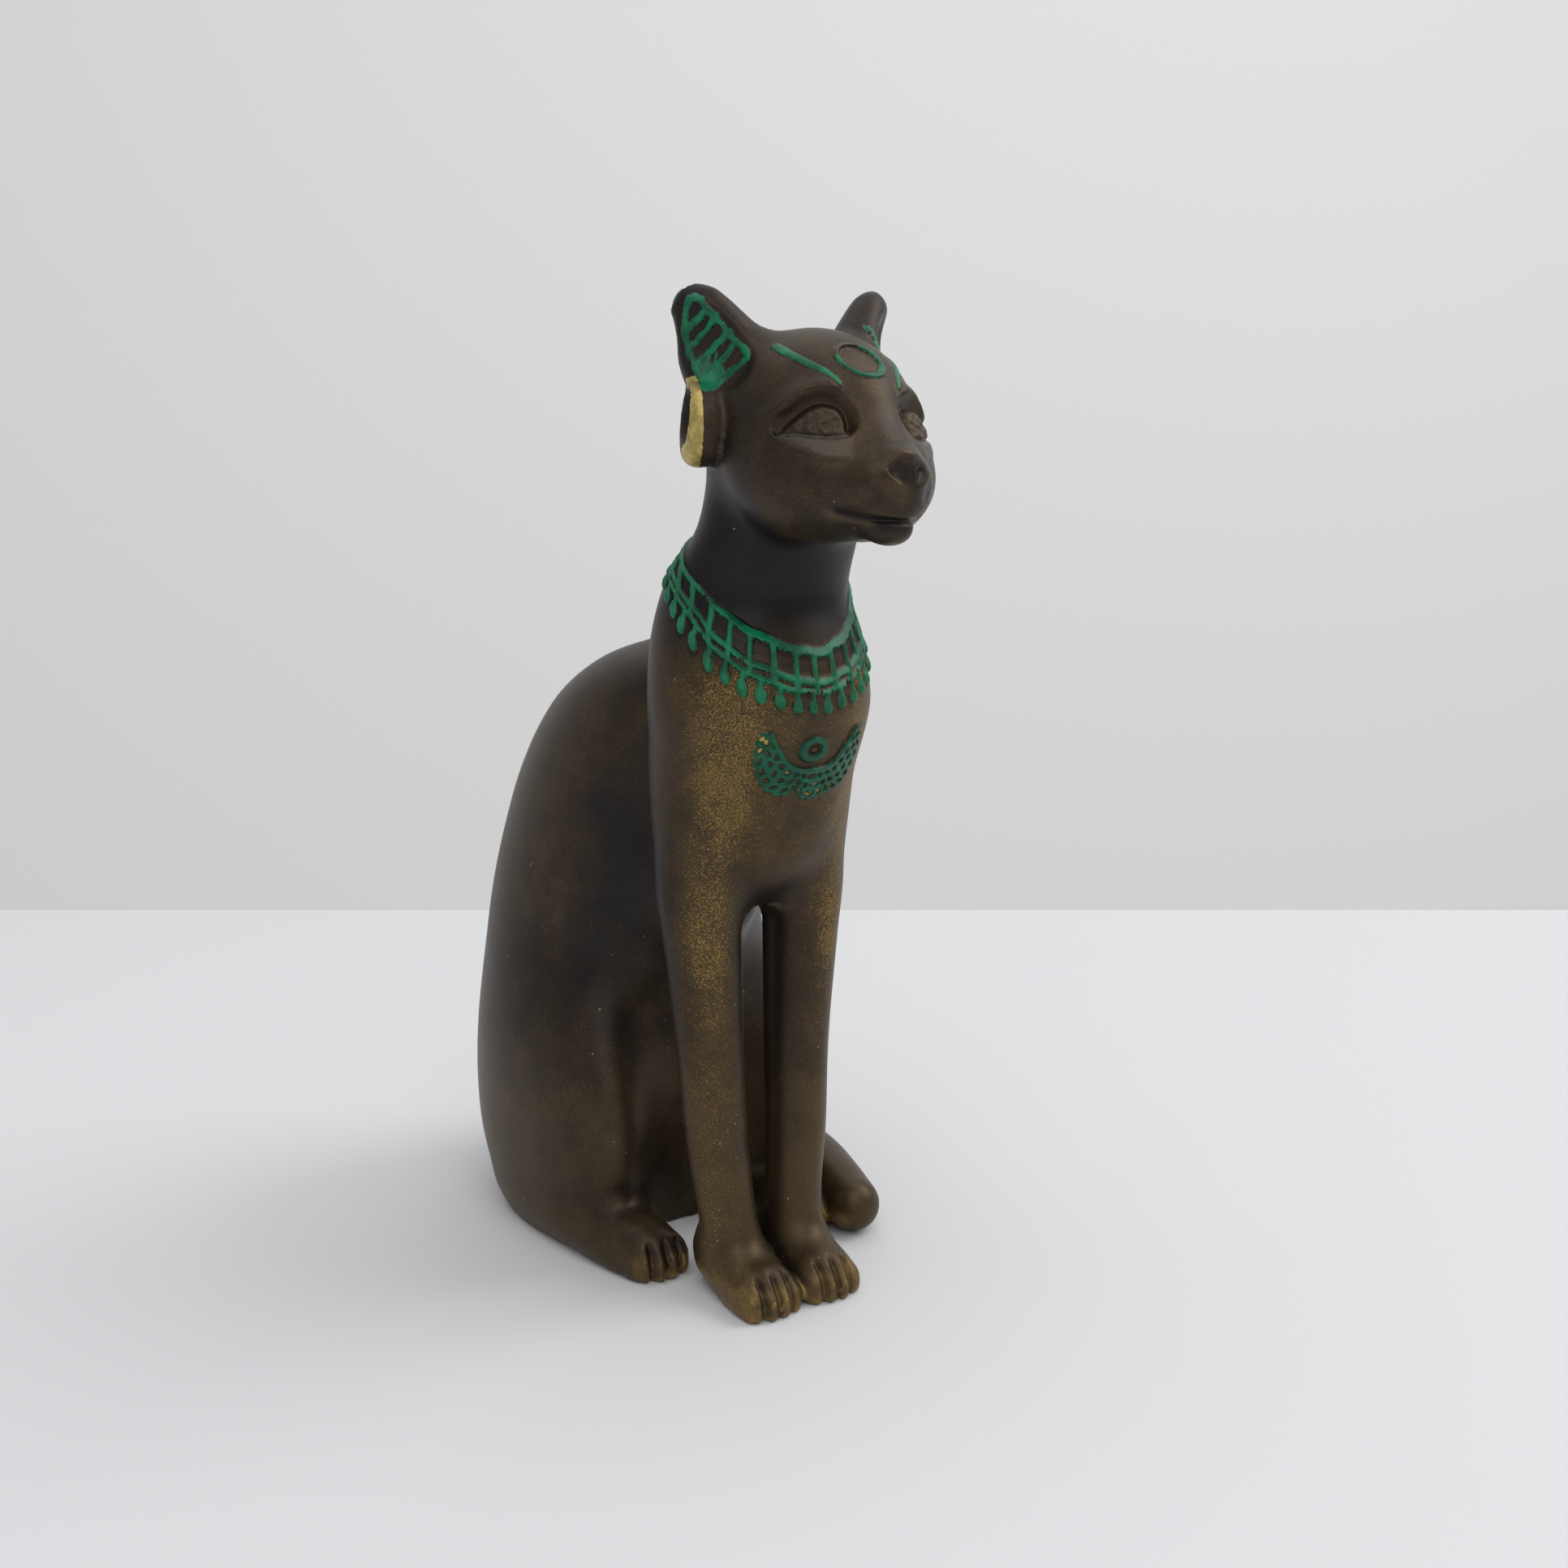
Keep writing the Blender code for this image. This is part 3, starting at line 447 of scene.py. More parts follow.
def collarRelief(p):
    c = collar
    radius = np.hypot(p[:, 0], p[:, 1] - c["middle"])
    angle = np.degrees(np.arctan2(p[:, 0], c["middle"] - p[:, 1]))
    wave = np.radians(angle)
    slow, quick = c["waves"]
    level = p[:, 2] - c["tilt"] * p[:, 1] + slow * np.sin(7 * wave + 1.3) + quick * np.sin(17 * wave)

    def spoke(count, turn, wobble):
        share = (angle - turn + wobble) * count / 360
        return (share - np.round(share)) * 2 * math.pi / count * radius

    slant = c["slant"] * np.sin(9 * wave + 0.7)
    barOff = spoke(c["bars"], c["barTurn"], slant)
    dropOff = spoke(c["drops"], c["dropTurn"], slant * 0.8)
    inBand = ramp(level, c["rowB"] - 0.4, c["rowB"]) * ramp(-level, -c["rim"] - 0.3, -c["rim"])
    marks = ridge(level - c["rim"], c["rimHalf"])
    marks = np.maximum(marks, ridge(level - c["rowA"], c["rowHalf"]))
    marks = np.maximum(marks, 0.9 * ridge(level - c["rowB"], c["rowHalf"]))
    marks = np.maximum(marks, 0.9 * ridge(barOff, c["barHalf"]) * inBand)
    hanging = ramp(-level, -c["rowB"] - 0.7, -c["rowB"]) * ramp(level, c["drop"] - 0.4, c["drop"])
    marks = np.maximum(marks, 0.85 * ridge(dropOff, c["stemHalf"]) * hanging)
    ball = ridge(np.hypot(dropOff, (level - c["drop"]) * 0.8), c["ballHalf"])
    near = ramp(-np.abs(p[:, 2] - 104), -17, -16)
    rise = (c["rise"] * marks + c["ballRise"] * ball) * near + c["bandRise"] * inBand * near
    rise = np.maximum(rise, (c["rise"] + c["ballRise"]) * ball * near)
    return rise, np.maximum(marks, ball) * near


ornament = {
    "x": 0.9, "centre": 84.3, "inner": (3.2, 2.6), "outer": (7.8, 1.4), "notch": (-2.6, 1.3, 1.1),
    "rise": 0.6, "holeRows": (0.26, 0.54, 0.82), "holeStep": 1.35, "holeHalf": (0.36, 0.46),
    "disc": (-0.5, 83.9, 2.5, 1.85), "flare": 5, "tip": 1.17, "scallops": 8.0, "scallopDepth": 0.18,
}


def ornamentRelief(p):
    o = ornament
    x = p[:, 0] - o["x"]
    z = p[:, 2]
    radius = np.hypot(x, z - o["centre"])
    turn = np.arctan2(np.abs(x), o["centre"] - z)
    quarter = np.clip(turn / (math.pi / 2), 0, 1.25)
    inner = o["inner"][0] + o["inner"][1] * quarter ** 1.6 + o["flare"] * np.maximum(quarter - 1, 0)
    outer = o["outer"][0] + o["outer"][1] * ramp(quarter, 0.2, 0.6)
    outer += o["scallopDepth"] * np.cos(2 * math.pi * turn * o["scallops"] / o["holeStep"])
    notchX, deep, wide = o["notch"]
    outer -= deep * np.exp(-((x - notchX) / wide * 1.2) ** 2) * (z < o["centre"] - 3)
    depth = np.minimum(radius - inner, outer - radius)
    tip = o["tip"] - quarter
    depth = np.minimum(depth, tip * 8)
    field = ramp(depth, -0.25, 0.25)
    crest = ridge(radius - inner - 0.35, 0.5) * (quarter < 1.2)
    across = (radius - inner) / np.maximum(outer - inner, 0.5)
    holes = 0.0
    for i, row in enumerate(o["holeRows"]):
        middle = inner + row * (outer - inner)
        count = o["holeStep"] / (4.2 + 3.6 * row)
        share = turn / count + 0.5 * (i % 2) + 0.25
        along = (share - np.floor(share) - 0.5) * count * radius
        hole = np.hypot(along / o["holeHalf"][1], (radius - middle) / o["holeHalf"][0])
        holes = np.maximum(holes, ramp(-hole, -1.25, -0.75) * (quarter < 1.16))
    dx, dz, halfX, halfZ = o["disc"]
    disc = np.hypot((x - dx) / halfX, (z - dz) / halfZ)
    ring = ramp(-disc, -1.08, -0.92) * ramp(disc, 0.42, 0.56)
    boss = np.clip(1 - (disc / 0.3) ** 2, 0, 1) ** 0.5
    front = ramp(-p[:, 1], 14, 16) * (z < 92) * (z > 70)
    rise = np.maximum(field * (0.75 - 0.6 * holes), crest)
    rise = np.maximum(rise, 0.9 * ring)
    rise = np.maximum(rise, 0.6 * boss)
    paint = np.maximum(field * (1 - holes), np.maximum(crest, ring))
    glint = np.maximum(field * holes, boss)
    return o["rise"] * rise * front, paint * front, glint * front


brow = {
    "disc": (-0.2, 136.0, 3.3, 2.1, -0.05), "ringHalf": 0.14, "rise": 0.3, "dish": 0.3,
    "bar": [
        (8.6, -31.0, 138.0), (8.4, -33.6, 136.8), (7.4, -36.2, 135.5), (5.8, -38.4, 134.3),
        (5.0, -39.6, 133.3), (4.6, -40.5, 132.3),
    ],
    "barHalf": (0.7, 0.2),
}


def browRelief(p):
    b = brow
    front = ramp(-p[:, 1], 27, 29) * (p[:, 2] > 129)
    x0, z0, halfX, halfZ, slant = b["disc"]
    x = p[:, 0] - x0
    disc = np.hypot(x / halfX, (p[:, 2] - z0 - slant * x) / halfZ)
    turn = np.arctan2((p[:, 2] - z0) / halfX, x / halfX)
    low = 0.5 - 0.5 * np.sin(turn - 0.5)
    ring = ridge(disc - 1.0, b["ringHalf"] * (0.75 + 0.6 * low))
    painted = ring * ramp(low, 0.12, 0.3)
    dent = ramp(-disc, -1.0, -0.7)
    m = mirrored(p)
    bar = np.zeros(len(p))
    steps = len(b["bar"]) - 1
    for i in range(steps):
        off, t = toLine(m, b["bar"][i], b["bar"][i + 1])
        half = b["barHalf"][0] + (b["barHalf"][1] - b["barHalf"][0]) * ((i + t) / steps) ** 1.5
        bar = np.maximum(bar, ridge(off, half))
    rise = b["rise"] * ring - b["dish"] * dent * (1 - 0.6 * disc) + 0.2 * bar
    return rise * front, np.maximum(painted, bar) * front, dent * (1 - ring) * front


ears = {
    "seat": ((11.9, -25.0, 136.92), (0.72, -0.69, 0.02), (0.34, 0.18, 0.92)),
    "tilt": 0.048,  # the left ear stands higher than the right one
    "shell": [
        (-6, 0.8, -3.8, 5.5, 5.0), (-3, 0.7, -3.4, 6.2, 5.2), (0, 0.8, -3.0, 6.4, 5.1),
        (3, 1.1, -2.4, 5.8, 4.5), (6, 1.2, -1.9, 4.6, 3.6), (8.5, 1.5, -1.4, 3.7, 2.9),
        (10.2, 1.9, -1.1, 3.0, 2.2), (11.3, 1.9, -0.9, 1.4, 1.1),
    ],
    "dish": ((1.5, 2.4, 3.2), (4.9, 6.5, 3.6), -24),
    # painted leaf, the bars across it, and the paint that has run together at its foot
    "leaf": [
        (1.7, 9.3), (2.8, 7.9), (3.7, 6.7), (4.4, 4.8), (4.5, 3.1), (4.4, 1.5), (4.2, -0.4), (3.6, -2.3),
        (2.9, -2.7), (2.0, -2.1), (0.5, -1.6), (-1.2, -1.2), (-2.6, -1.0), (-2.8, -0.4), (-2.3, 1.0),
        (-1.6, 2.3), (-1.1, 3.9), (-0.6, 5.7), (0.0, 7.1), (0.3, 8.5), (1.0, 9.3), (1.7, 9.3),
    ],
    "bars": [
        ((3.2, 6.2), (0.5, 7.1)), ((3.7, 4.1), (-0.6, 5.7)), ((3.8, 1.6), (-1.4, 3.5)),
        ((3.0, -0.4), (-1.7, 1.8)),
    ],
    "flood": (3.3, -1.2, 3.0), "leftShift": 1.3,
    "leftStroke": [
        (-4.2, 3.2), (-3.7, 2.5), (-3.6, 1.0), (-3.4, -1.0),
    ],
    "lineHalf": 0.5, "barHalf": 0.45, "rise": 0.22,
}


def earPlace(p):
    # the ear seat's across, up and outward, with the left ear higher
    m = mirrored(p)
    m[:, 2] -= ears["tilt"] * p[:, 0]
    return onSeat(m, ears["seat"])


def earRelief(p):
    # the left leaf sits further out, and only a stroke of it runs in front of the ear
    e = ears
    q = earPlace(p)
    flat = q[:, :2] - np.stack([e["leftShift"] * (p[:, 0] > 0), np.zeros(len(p))], 1)
    wobble = 1 + 0.2 * np.sin(2.1 * flat[:, 1] + 1.0) + 0.15 * np.sin(4.7 * flat[:, 0] + 3.1 * flat[:, 1])
    marks = np.zeros(len(p))
    for a, b in zip(e["leaf"][:-1], e["leaf"][1:]):
        marks = np.maximum(marks, ridge(toLine(flat, a, b)[0], e["lineHalf"] * wobble))
    for a, b in e["bars"]:
        marks = np.maximum(marks, ridge(toLine(flat, a, b)[0], e["barHalf"] * wobble))
    x0, z0, reach = e["flood"]
    inLeaf = ramp(flat[:, 1] + 0.28 * flat[:, 0], -1.5, -1.1) * ramp(-flat[:, 0], -4.4, -4.0)
    flood = ramp(reach - np.hypot(flat[:, 0] - x0, (flat[:, 1] - z0) / 1.2) * wobble, 0, 1.6) * inLeaf
    marks = np.maximum(marks, 0.7 * flood)
    marks = marks * np.where(p[:, 0] > 0, ramp(-flat[:, 1], -2.2, -0.8), 1)
    for a, b in zip(e["leftStroke"][:-1], e["leftStroke"][1:]):
        marks = np.maximum(marks, ridge(toLine(q[:, :2], a, b)[0], 0.4) * (p[:, 0] > 0))
    front = ramp(q[:, 2], -3.0, -2.0) * ramp(-q[:, 2], -4.5, -3.5) * (q[:, 1] > -4.5)
    return e["rise"] * marks * front, marks * front


def toeRelief(p):
    m = mirrored(p)
    grooves = np.zeros(len(p))
    ends = np.zeros(len(p))
    for foot in ("foreToes", "hindToes"):
        middle, start, front = limbs[foot]
        ahead = ramp(-m[:, 1], start + 0.8, start + 3.4)
        if foot == "hindToes":
            ahead = ahead * ramp(m[:, 0], 9.2, 9.8) * ramp(m[:, 1], -12, -10)
        for offset in (-1, 0, 1):
            line = np.exp(-((m[:, 0] - middle - offset * limbs["toeSpacing"]) / limbs["toeWidth"]) ** 2)
            grooves = np.maximum(grooves, line * ahead)
        share = np.clip((m[:, 0] - middle) / limbs["toeSpacing"], -2, 2)
        ends = np.maximum(ends, np.sin(math.pi * share) ** 2 * ramp(-m[:, 1], front, front + 1.2))
    lift = limbs["toeRound"] * ends * ramp(-m[:, 2], -4.5, -2.5)
    return lift - limbs["toeDepth"] * grooves * ramp(-m[:, 2], -6.5, -4.5)


def withEars(p, d):
    q = earPlace(p)
    shell = rowsForm(q[:, [0, 2, 1]], ears["shell"], 2)
    dish = massForm(q, ears["dish"])
    return cut(join(d, shell, fillets["ear"]), dish, fillets["earDish"]) - earRelief(p)[0]


def catForm(p):
    _, y, z = p.T
    hind = within(p, (z < 106) & (y > -22), hindForm)
    d = join(hind, within(p, y < 22, foreForm), fillets["halves"])
    d = join(d, within(p, z > 102, headForm), fillets["neck"])
    collarZone = inside(z, 82, 122)
    d[collarZone] -= collarRelief(p[collarZone])[0]
    chestZone = inside(z, 72, 92) & (y < -14)
    d[chestZone] -= ornamentRelief(p[chestZone])[0]
    feet = z < 10
    d[feet] -= toeRelief(p[feet])
    earZone = z > 122
    d[earZone] = withEars(p[earZone], d[earZone])
    ringZone = inside(z, 118, 138)
    d[ringZone] = join(d[ringZone], ringForm(p[ringZone]), fillets["ring"])
    return cut(d, z, fillets["ground"])


# meshing

def pulled(points, steps, reach=0.05):
    # moves the points onto the form along its own slope
    for _ in range(steps):
        d = catForm(points)
        slope = np.stack([catForm(points + shift) - d for shift in np.eye(3) * reach], 1) / reach
        size = np.maximum((slope ** 2).sum(1), 0.25)
        points = points - slope * np.clip(d / size, -0.6, 0.6)[:, None]
    return points


def pointsOf(mesh):
    points = np.empty(len(mesh.vertices) * 3)
    mesh.vertices.foreach_get("co", points)
    return points.reshape(-1, 3)


def setPoints(mesh, points):
    mesh.vertices.foreach_set("co", points.ravel())
    mesh.update()


def remeshed(mesh, voxel):
    obj = bpy.data.objects.new("blank", mesh)
    bpy.context.scene.collection.objects.link(obj)
    modifier = obj.modifiers.new("Remesh", "REMESH")
    modifier.mode = "VOXEL"
    modifier.voxel_size = voxel
    result = bpy.data.meshes.new_from_object(obj.evaluated_get(bpy.context.evaluated_depsgraph_get()))
    bpy.data.objects.remove(obj)
    return result


meshing = {
    "voxels": ((1.25, 5), (1.15, 3)),  # each with its steps of pulling
    "passes": 3, "quickPasses": 2, "steps": 3,
    "plain": 2.0, "soft": 0.55, "fine": 0.28, "finest": 0.16,  # edge lengths that the relief needs
}


def wantedSize(p):
    # edge length that the relief needs at each place
    size = np.full(len(p), meshing["plain"])

    def need(edge, where):
        size[where] = np.minimum(size[where], meshing[edge])

    m = mirrored(p)
    x = np.abs(p[:, 0])
    y = p[:, 1]
    z = p[:, 2]
    # collar and ornament
    level = z - collar["tilt"] * y
    need("soft", inside(level, 113.8, 125.0) & inside(z, 86, 121))
    need("fine", inside(level, 114.8, 123.8) & inside(z, 86, 121))
    away = np.hypot(p[:, 0] - ornament["x"], z - ornament["centre"])
    need("fine", (y < -20) & (away < 10.2) & (z < 87.5))
    need("finest", (y < -20) & (away < 9.8) & (z < 87) & ((away > 2.6) | (z < 86)))
    # eyes
    q = onSeat(m, eye["seat"])
    across = np.abs(q[:, 0] + 0.8)
    need("soft", (across < 7) & (np.abs(q[:, 1]) < 6.4) & (q[:, 2] > -5))
    need("fine", (across < 5.2) & (np.abs(q[:, 1] - 0.3) < 3.2) & (q[:, 2] > -4))
    close = (across < 5.4) & (np.abs(q[:, 1]) < 3.6) & (np.abs(q[:, 2]) < 4)
    lid = np.full(len(p), 9.0)
    lid[close] = np.minimum(toPath(q[close][:, :2], eye["upper"]), toPath(q[close][:, :2], eye["lower"]))
    need("finest", lid < 0.6)
    # nose and mouth
    need("soft", (y < -40) & inside(z, 111, 126))
    need("fine", (y < -45.5) & inside(z, 118.5, 124.5))
    off = z - head["mouthHeight"] - head["mouthCurve"] * x * x
    need("fine", (y < -38) & (np.abs(off) < 1.6) & (x < 8.6))
    need("finest", (y < -38) & (np.abs(off) < 0.8) & (x < 8.2))
    # ears and rings
    q = earPlace(p)
    leaf = (np.abs(q[:, 0] - 1.0) < 4.4) & (np.abs(q[:, 1] - 2.9) < 6.6) & (np.abs(q[:, 2] - 0.5) < 3)
    need("fine", leaf & ((p[:, 0] < 0) | (q[:, 1] < 3)))
    need("soft", (z > 134) & (x > 8) & (y < -20))
    through, fromRim, fromHole = ringPlace(m)
    need("soft", (fromRim > -0.5) & inside(through, -3.5, 3))
    need("fine", (np.abs(fromRim) < 0.5) & (np.abs(through) < 0.7))
    need("fine", (np.abs(fromHole) < 0.6) & inside(through, -1.5, 2))
    # forehead
    disc = np.hypot((p[:, 0] + 0.2) / 3.9, (z - 136.0) / 2.7)
    need("fine", (y < -30) & inside(disc, 0.6, 1.1))
    bar = np.min([toLine(m, a, b)[0] for a, b in zip(brow["bar"][:-1], brow["bar"][1:])], 0)
    need("fine", bar < 1.1)
    # toes
    need("soft", (z < 8) & (y < -18))
    need("fine", (z < 9) & (y < -13) & (x < 1.1))
    need("fine", (z < 6) & (y < -23) & (x < 10.6))
    need("soft", (z < 8) & (y < 1) & inside(x, 8.5, 18))
    return size


def refined(mesh, edge, steps):
    # splits the faces that are larger than their place needs, then pulls the points there onto the form
    work = bmesh.new()
    work.from_mesh(mesh)
    middles = np.array([f.calc_center_median() for f in work.faces])
    keep = wantedSize(middles) < edge * 0.8
    edges = {e for f, k in zip(work.faces, keep) if k for e in f.edges}
    bmesh.ops.subdivide_edges(work, edges=list(edges), cuts=1, use_grid_fill=True)
    work.to_mesh(mesh)
    work.free()
    points = pointsOf(mesh)
    near = wantedSize(points) < edge * 0.9
    points[near] = pulled(points[near], steps)
    setPoints(mesh, points)


def castMesh():
    # the CAD solid in shares, made even and pulled onto the full form, and split where the relief is fine
    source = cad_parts["cat_figure"]
    mesh = source.data.copy()
    points = pointsOf(mesh) / scale["share"]
    points[:, :2] += scale["middle"]
    setPoints(mesh, points)
    for voxel, steps in meshing["voxels"]:
        mesh = remeshed(mesh, voxel)
        setPoints(mesh, pulled(pointsOf(mesh), steps))
    print("even mesh:", len(mesh.polygons), "faces")
    edge = voxel
    for _ in range(meshing["passes"]):
        refined(mesh, edge, meshing["steps"])
        edge /= 2
        print("finer mesh:", len(mesh.polygons), "faces")
    work = bmesh.new()
    work.from_mesh(mesh)
    bmesh.ops.triangulate(work, faces=[f for f in work.faces if len(f.verts) > 4])
    bmesh.ops.recalc_face_normals(work, faces=work.faces)
    work.to_mesh(mesh)
    work.free()
    mesh.calc_loop_triangles()
    print("cast mesh:", len(mesh.loop_triangles), "triangles")
    return mesh


def slopeOf(points, reach=0.05):
    slope = [catForm(points + shift) - catForm(points - shift) for shift in np.eye(3) * reach]
    slope = np.stack(slope, 1)
    return slope / np.maximum(np.linalg.norm(slope, axis=1, keepdims=True), 1e-9)


def setMark(mesh, name, values):
    mark = mesh.attributes.new(name, "FLOAT", "POINT")
    mark.data.foreach_set("value", np.ascontiguousarray(values, np.float32))


wearAndShading = {
    # gold dust on the breast, along the shoulders' front, on legs and toes, and in the forehead's disc
    "breast": 0.45, "shoulder": 0.8, "legs": 0.6, "toes": 0.1, "bowl": 0.4,
    # tone, from cool and dark to brown, with painted shade on the flank
    "even": 0.62, "neck": 0.75, "nape": 0.6, "flankShade": 1.1, "low": 0.25, "hollow": 0.7, "eyeHollow": 0.45,
    # hollows: two reaches, the most that they count, the painted shade in the mouth and at its corners, and
    # the darker nose leather
    "reaches": (0.7, 1.8), "deepest": 0.7, "mouth": 0.6, "corner": 0.8, "leather": 0.5,
    # painted highlights: on the nose tip, on the shelf under each eye, and along the lower lid
    "noseTip": 0.5, "shelf": 0.6, "lid": 1.2,
}


def paintedPlaces(p):
    # green paint, gold in the ornament's holes, and the bowl of the forehead's disc
    green, glint, bowl = np.zeros((3, len(p)))
    zone = inside(p[:, 2], 82, 122)
    green[zone] = collarRelief(p[zone])[1]
    zone = inside(p[:, 2], 72, 92) & (p[:, 1] < -14)
    _, paint, gold = ornamentRelief(p[zone])
    green[zone] = np.maximum(green[zone], paint)
    glint[zone] = gold
    zone = p[:, 2] > 129
    _, paint, dent = browRelief(p[zone])
    green[zone] = np.maximum(green[zone], np.maximum(paint, earRelief(p[zone])[1]))
    bowl[zone] = dent
    return green, glint, bowl


def hoopPlaces(m):
    through, fromRim, fromHole = ringPlace(m)
    across = onSeat(m, earring["seat"])[:, 0]
    hoop = ramp(through, -0.05, 0.2) * ramp(fromHole, 0.3, 0.6) * ramp(-across, -1.8, -0.4)
    return hoop * (fromRim > -0.5) * (through < 3)


def toePlaces(m):
    # rubbed gold on the fore toes and the hind ones
    side, y, z = m.T
    fore = ramp(-z, -7.5, -3) * ramp(-y, 22, 26.5)
    return fore + ramp(-z, -6.5, -3) * ramp(-y, 2.5, 6.5) * ramp(side, 7, 9) * ramp(-side, -20, -18)


def dustPlaces(m, toes, bowl):
    w = wearAndShading
    side, y, z = m.T
    breast = ramp(-y, 15, 24) * ramp(z, 58, 70) * ramp(-z, -99, -93) * w["breast"]
    shoulder = np.exp(-((side - 11.5) / 4.5) ** 2) * ramp(-y, 8, 18)
    shoulder = shoulder * ramp(-z, -98, -92) * ramp(z, 40, 60)
    legs = np.exp(-((side - 10.5) / 4.0) ** 2) * ramp(-y, 9, 14) * ramp(-z, -66, -55)
    return breast + w["shoulder"] * shoulder + w["legs"] * legs + w["toes"] * toes + w["bowl"] * bowl


def tonePlaces(p, m):
    # darker and cooler on the neck and in the hollows, with painted shade in the mouth, at its corners and on
    # the flank, browner low down, how far each place stands proud with a painted highlight on the nose tip,
    # and painted highlights under the eyes
    w = wearAndShading
    side, y, z = m.T
    ahead = -y
    slope = slopeOf(p)
    close, wide = w["reaches"]
    hollow = np.maximum(1 - catForm(p + close * slope) / close, 1 - catForm(p + wide * slope) / wide)
    hollow = np.clip(hollow, 0, w["deepest"])
    proud = np.clip(1 + catForm(p - close * slope) / close, 0, 1)
    # painted shade under the upper lip and in the mouth's corners, added to the hollows
    off, along = mouthOff(side, z)
    mouth = w["mouth"] * ramp(-off, -0.3, 0.3) * ramp(off, -2.8, -0.6) * along * ramp(ahead, 36, 38)
    hollow = np.maximum(hollow, mouth)
    corner = np.exp(-((side - 6.2) / 1.2) ** 2 - ((off + 0.3) / 0.8) ** 2) * ramp(ahead, 34, 36)
    hollow = np.maximum(hollow, w["corner"] * corner)
    leather = np.hypot(side / 3.1, (z - 121.6) / 1.9)
    hollow = np.maximum(hollow, w["leather"] * ramp(1 - leather, -0.1, 0.3) * ramp(ahead, 44, 45.5))
    neck = ramp(z, 98, 106) * ramp(-z, -124, -116) * ramp(y, -36, -27)
    neck += w["nape"] * ramp(z, 124, 134) * ramp(y, -30, -20)
    # painted shade on the flank, between the shoulder and the haunch
    flankShade = np.exp(-((y + 2) / 11) ** 2 - ((z - 58) / 20) ** 2) * ramp(side, 8, 14)
    tone = w["even"] - w["neck"] * neck - w["flankShade"] * flankShade
    tone = tone + w["low"] * ramp(-z, -45, -20) - w["hollow"] * hollow
    near, _, under, over, shelf = eyePlace(m)
    front = ramp(ahead[near], 30, 32)
    tone[near] += w["eyeHollow"] * hollow[near] * front
    # painted highlight on the nose tip, added to how far it stands proud
    tip = np.exp(-((z - 123.9) / 0.7) ** 2 - (side / 1.7) ** 2) * ramp(ahead, 44, 46)
    proud = np.maximum(proud, w["noseTip"] * tip)
    # painted highlight on the shelf under each eye and along the lower lid
    paintedHighlight = np.zeros(len(p))
    lid = w["lid"] * np.exp(-(over / 0.25) ** 2) * ramp(under, -0.3, 0.3)
    paintedHighlight[near] = np.maximum(w["shelf"] * shelf, lid) * front
    return tone, proud, paintedHighlight


def paintMarks(mesh):
    p = pointsOf(mesh)
    m = mirrored(p)
    green, glint, bowl = paintedPlaces(p)
    toes = toePlaces(m)
    tone, proud, paintedHighlight = tonePlaces(p, m)
    setMark(mesh, "green", green)
    setMark(mesh, "wings", ramp(-p[:, 2], -90, -89) * ramp(-p[:, 1], 14, 15))
    setMark(mesh, "glint", glint)
    setMark(mesh, "hoop", hoopPlaces(m))
    setMark(mesh, "dust", np.clip(dustPlaces(m, toes, bowl), 0, 1))
    setMark(mesh, "toes", np.clip(toes, 0, 1))
    setMark(mesh, "tone", tone)
    setMark(mesh, "proud", proud)
    setMark(mesh, "paintedHighlight", paintedHighlight)


# shader maths

class Sock:
    # one output socket, so that shader maths reads as plain expressions
    def __init__(self, tree, socket):
        self.tree = tree
        self.socket = socket

    def maths(self, operation, *others):
        return nodeOf(self.tree, "ShaderNodeMath", {"operation": operation}, [self, *others])

    def __add__(self, other):
        return self.maths("ADD", other)

    __radd__ = __add__

    def __mul__(self, other):
        return self.maths("MULTIPLY", other)

    __rmul__ = __mul__

    def __sub__(self, other):
        return self.maths("SUBTRACT", other)

    def __rsub__(self, other):
        return nodeOf(self.tree, "ShaderNodeMath", {"operation": "SUBTRACT"}, [other, self])

    def above(self, low, high):
        return nodeOf(self.tree, "ShaderNodeMapRange", {"interpolation_type": "SMOOTHSTEP"},
                      [self, low, high, 0.0, 1.0])


def nodeOf(tree, kind, settings=None, inputs=(), output=0):
    # adds a node: its settings first, then the values or links of its sockets
    node = tree.nodes.new(kind)
    for name, value in (settings or {}).items():
        setattr(node, name, value)
    pairs = inputs.items() if isinstance(inputs, dict) else enumerate(inputs)
    for key, value in pairs:
        if isinstance(value, Sock):
            tree.links.new(value.socket, node.inputs[key])
        else:
            node.inputs[key].default_value = value
    return Sock(tree, node.outputs[output])


def blendOf(tree, share, a, b):
    return nodeOf(tree, "ShaderNodeMix", {"data_type": "RGBA"}, {0: share, 6: a, 7: b}, 2)


def markOf(tree, name):
    return nodeOf(tree, "ShaderNodeAttribute", {"attribute_name": name}, output=2)


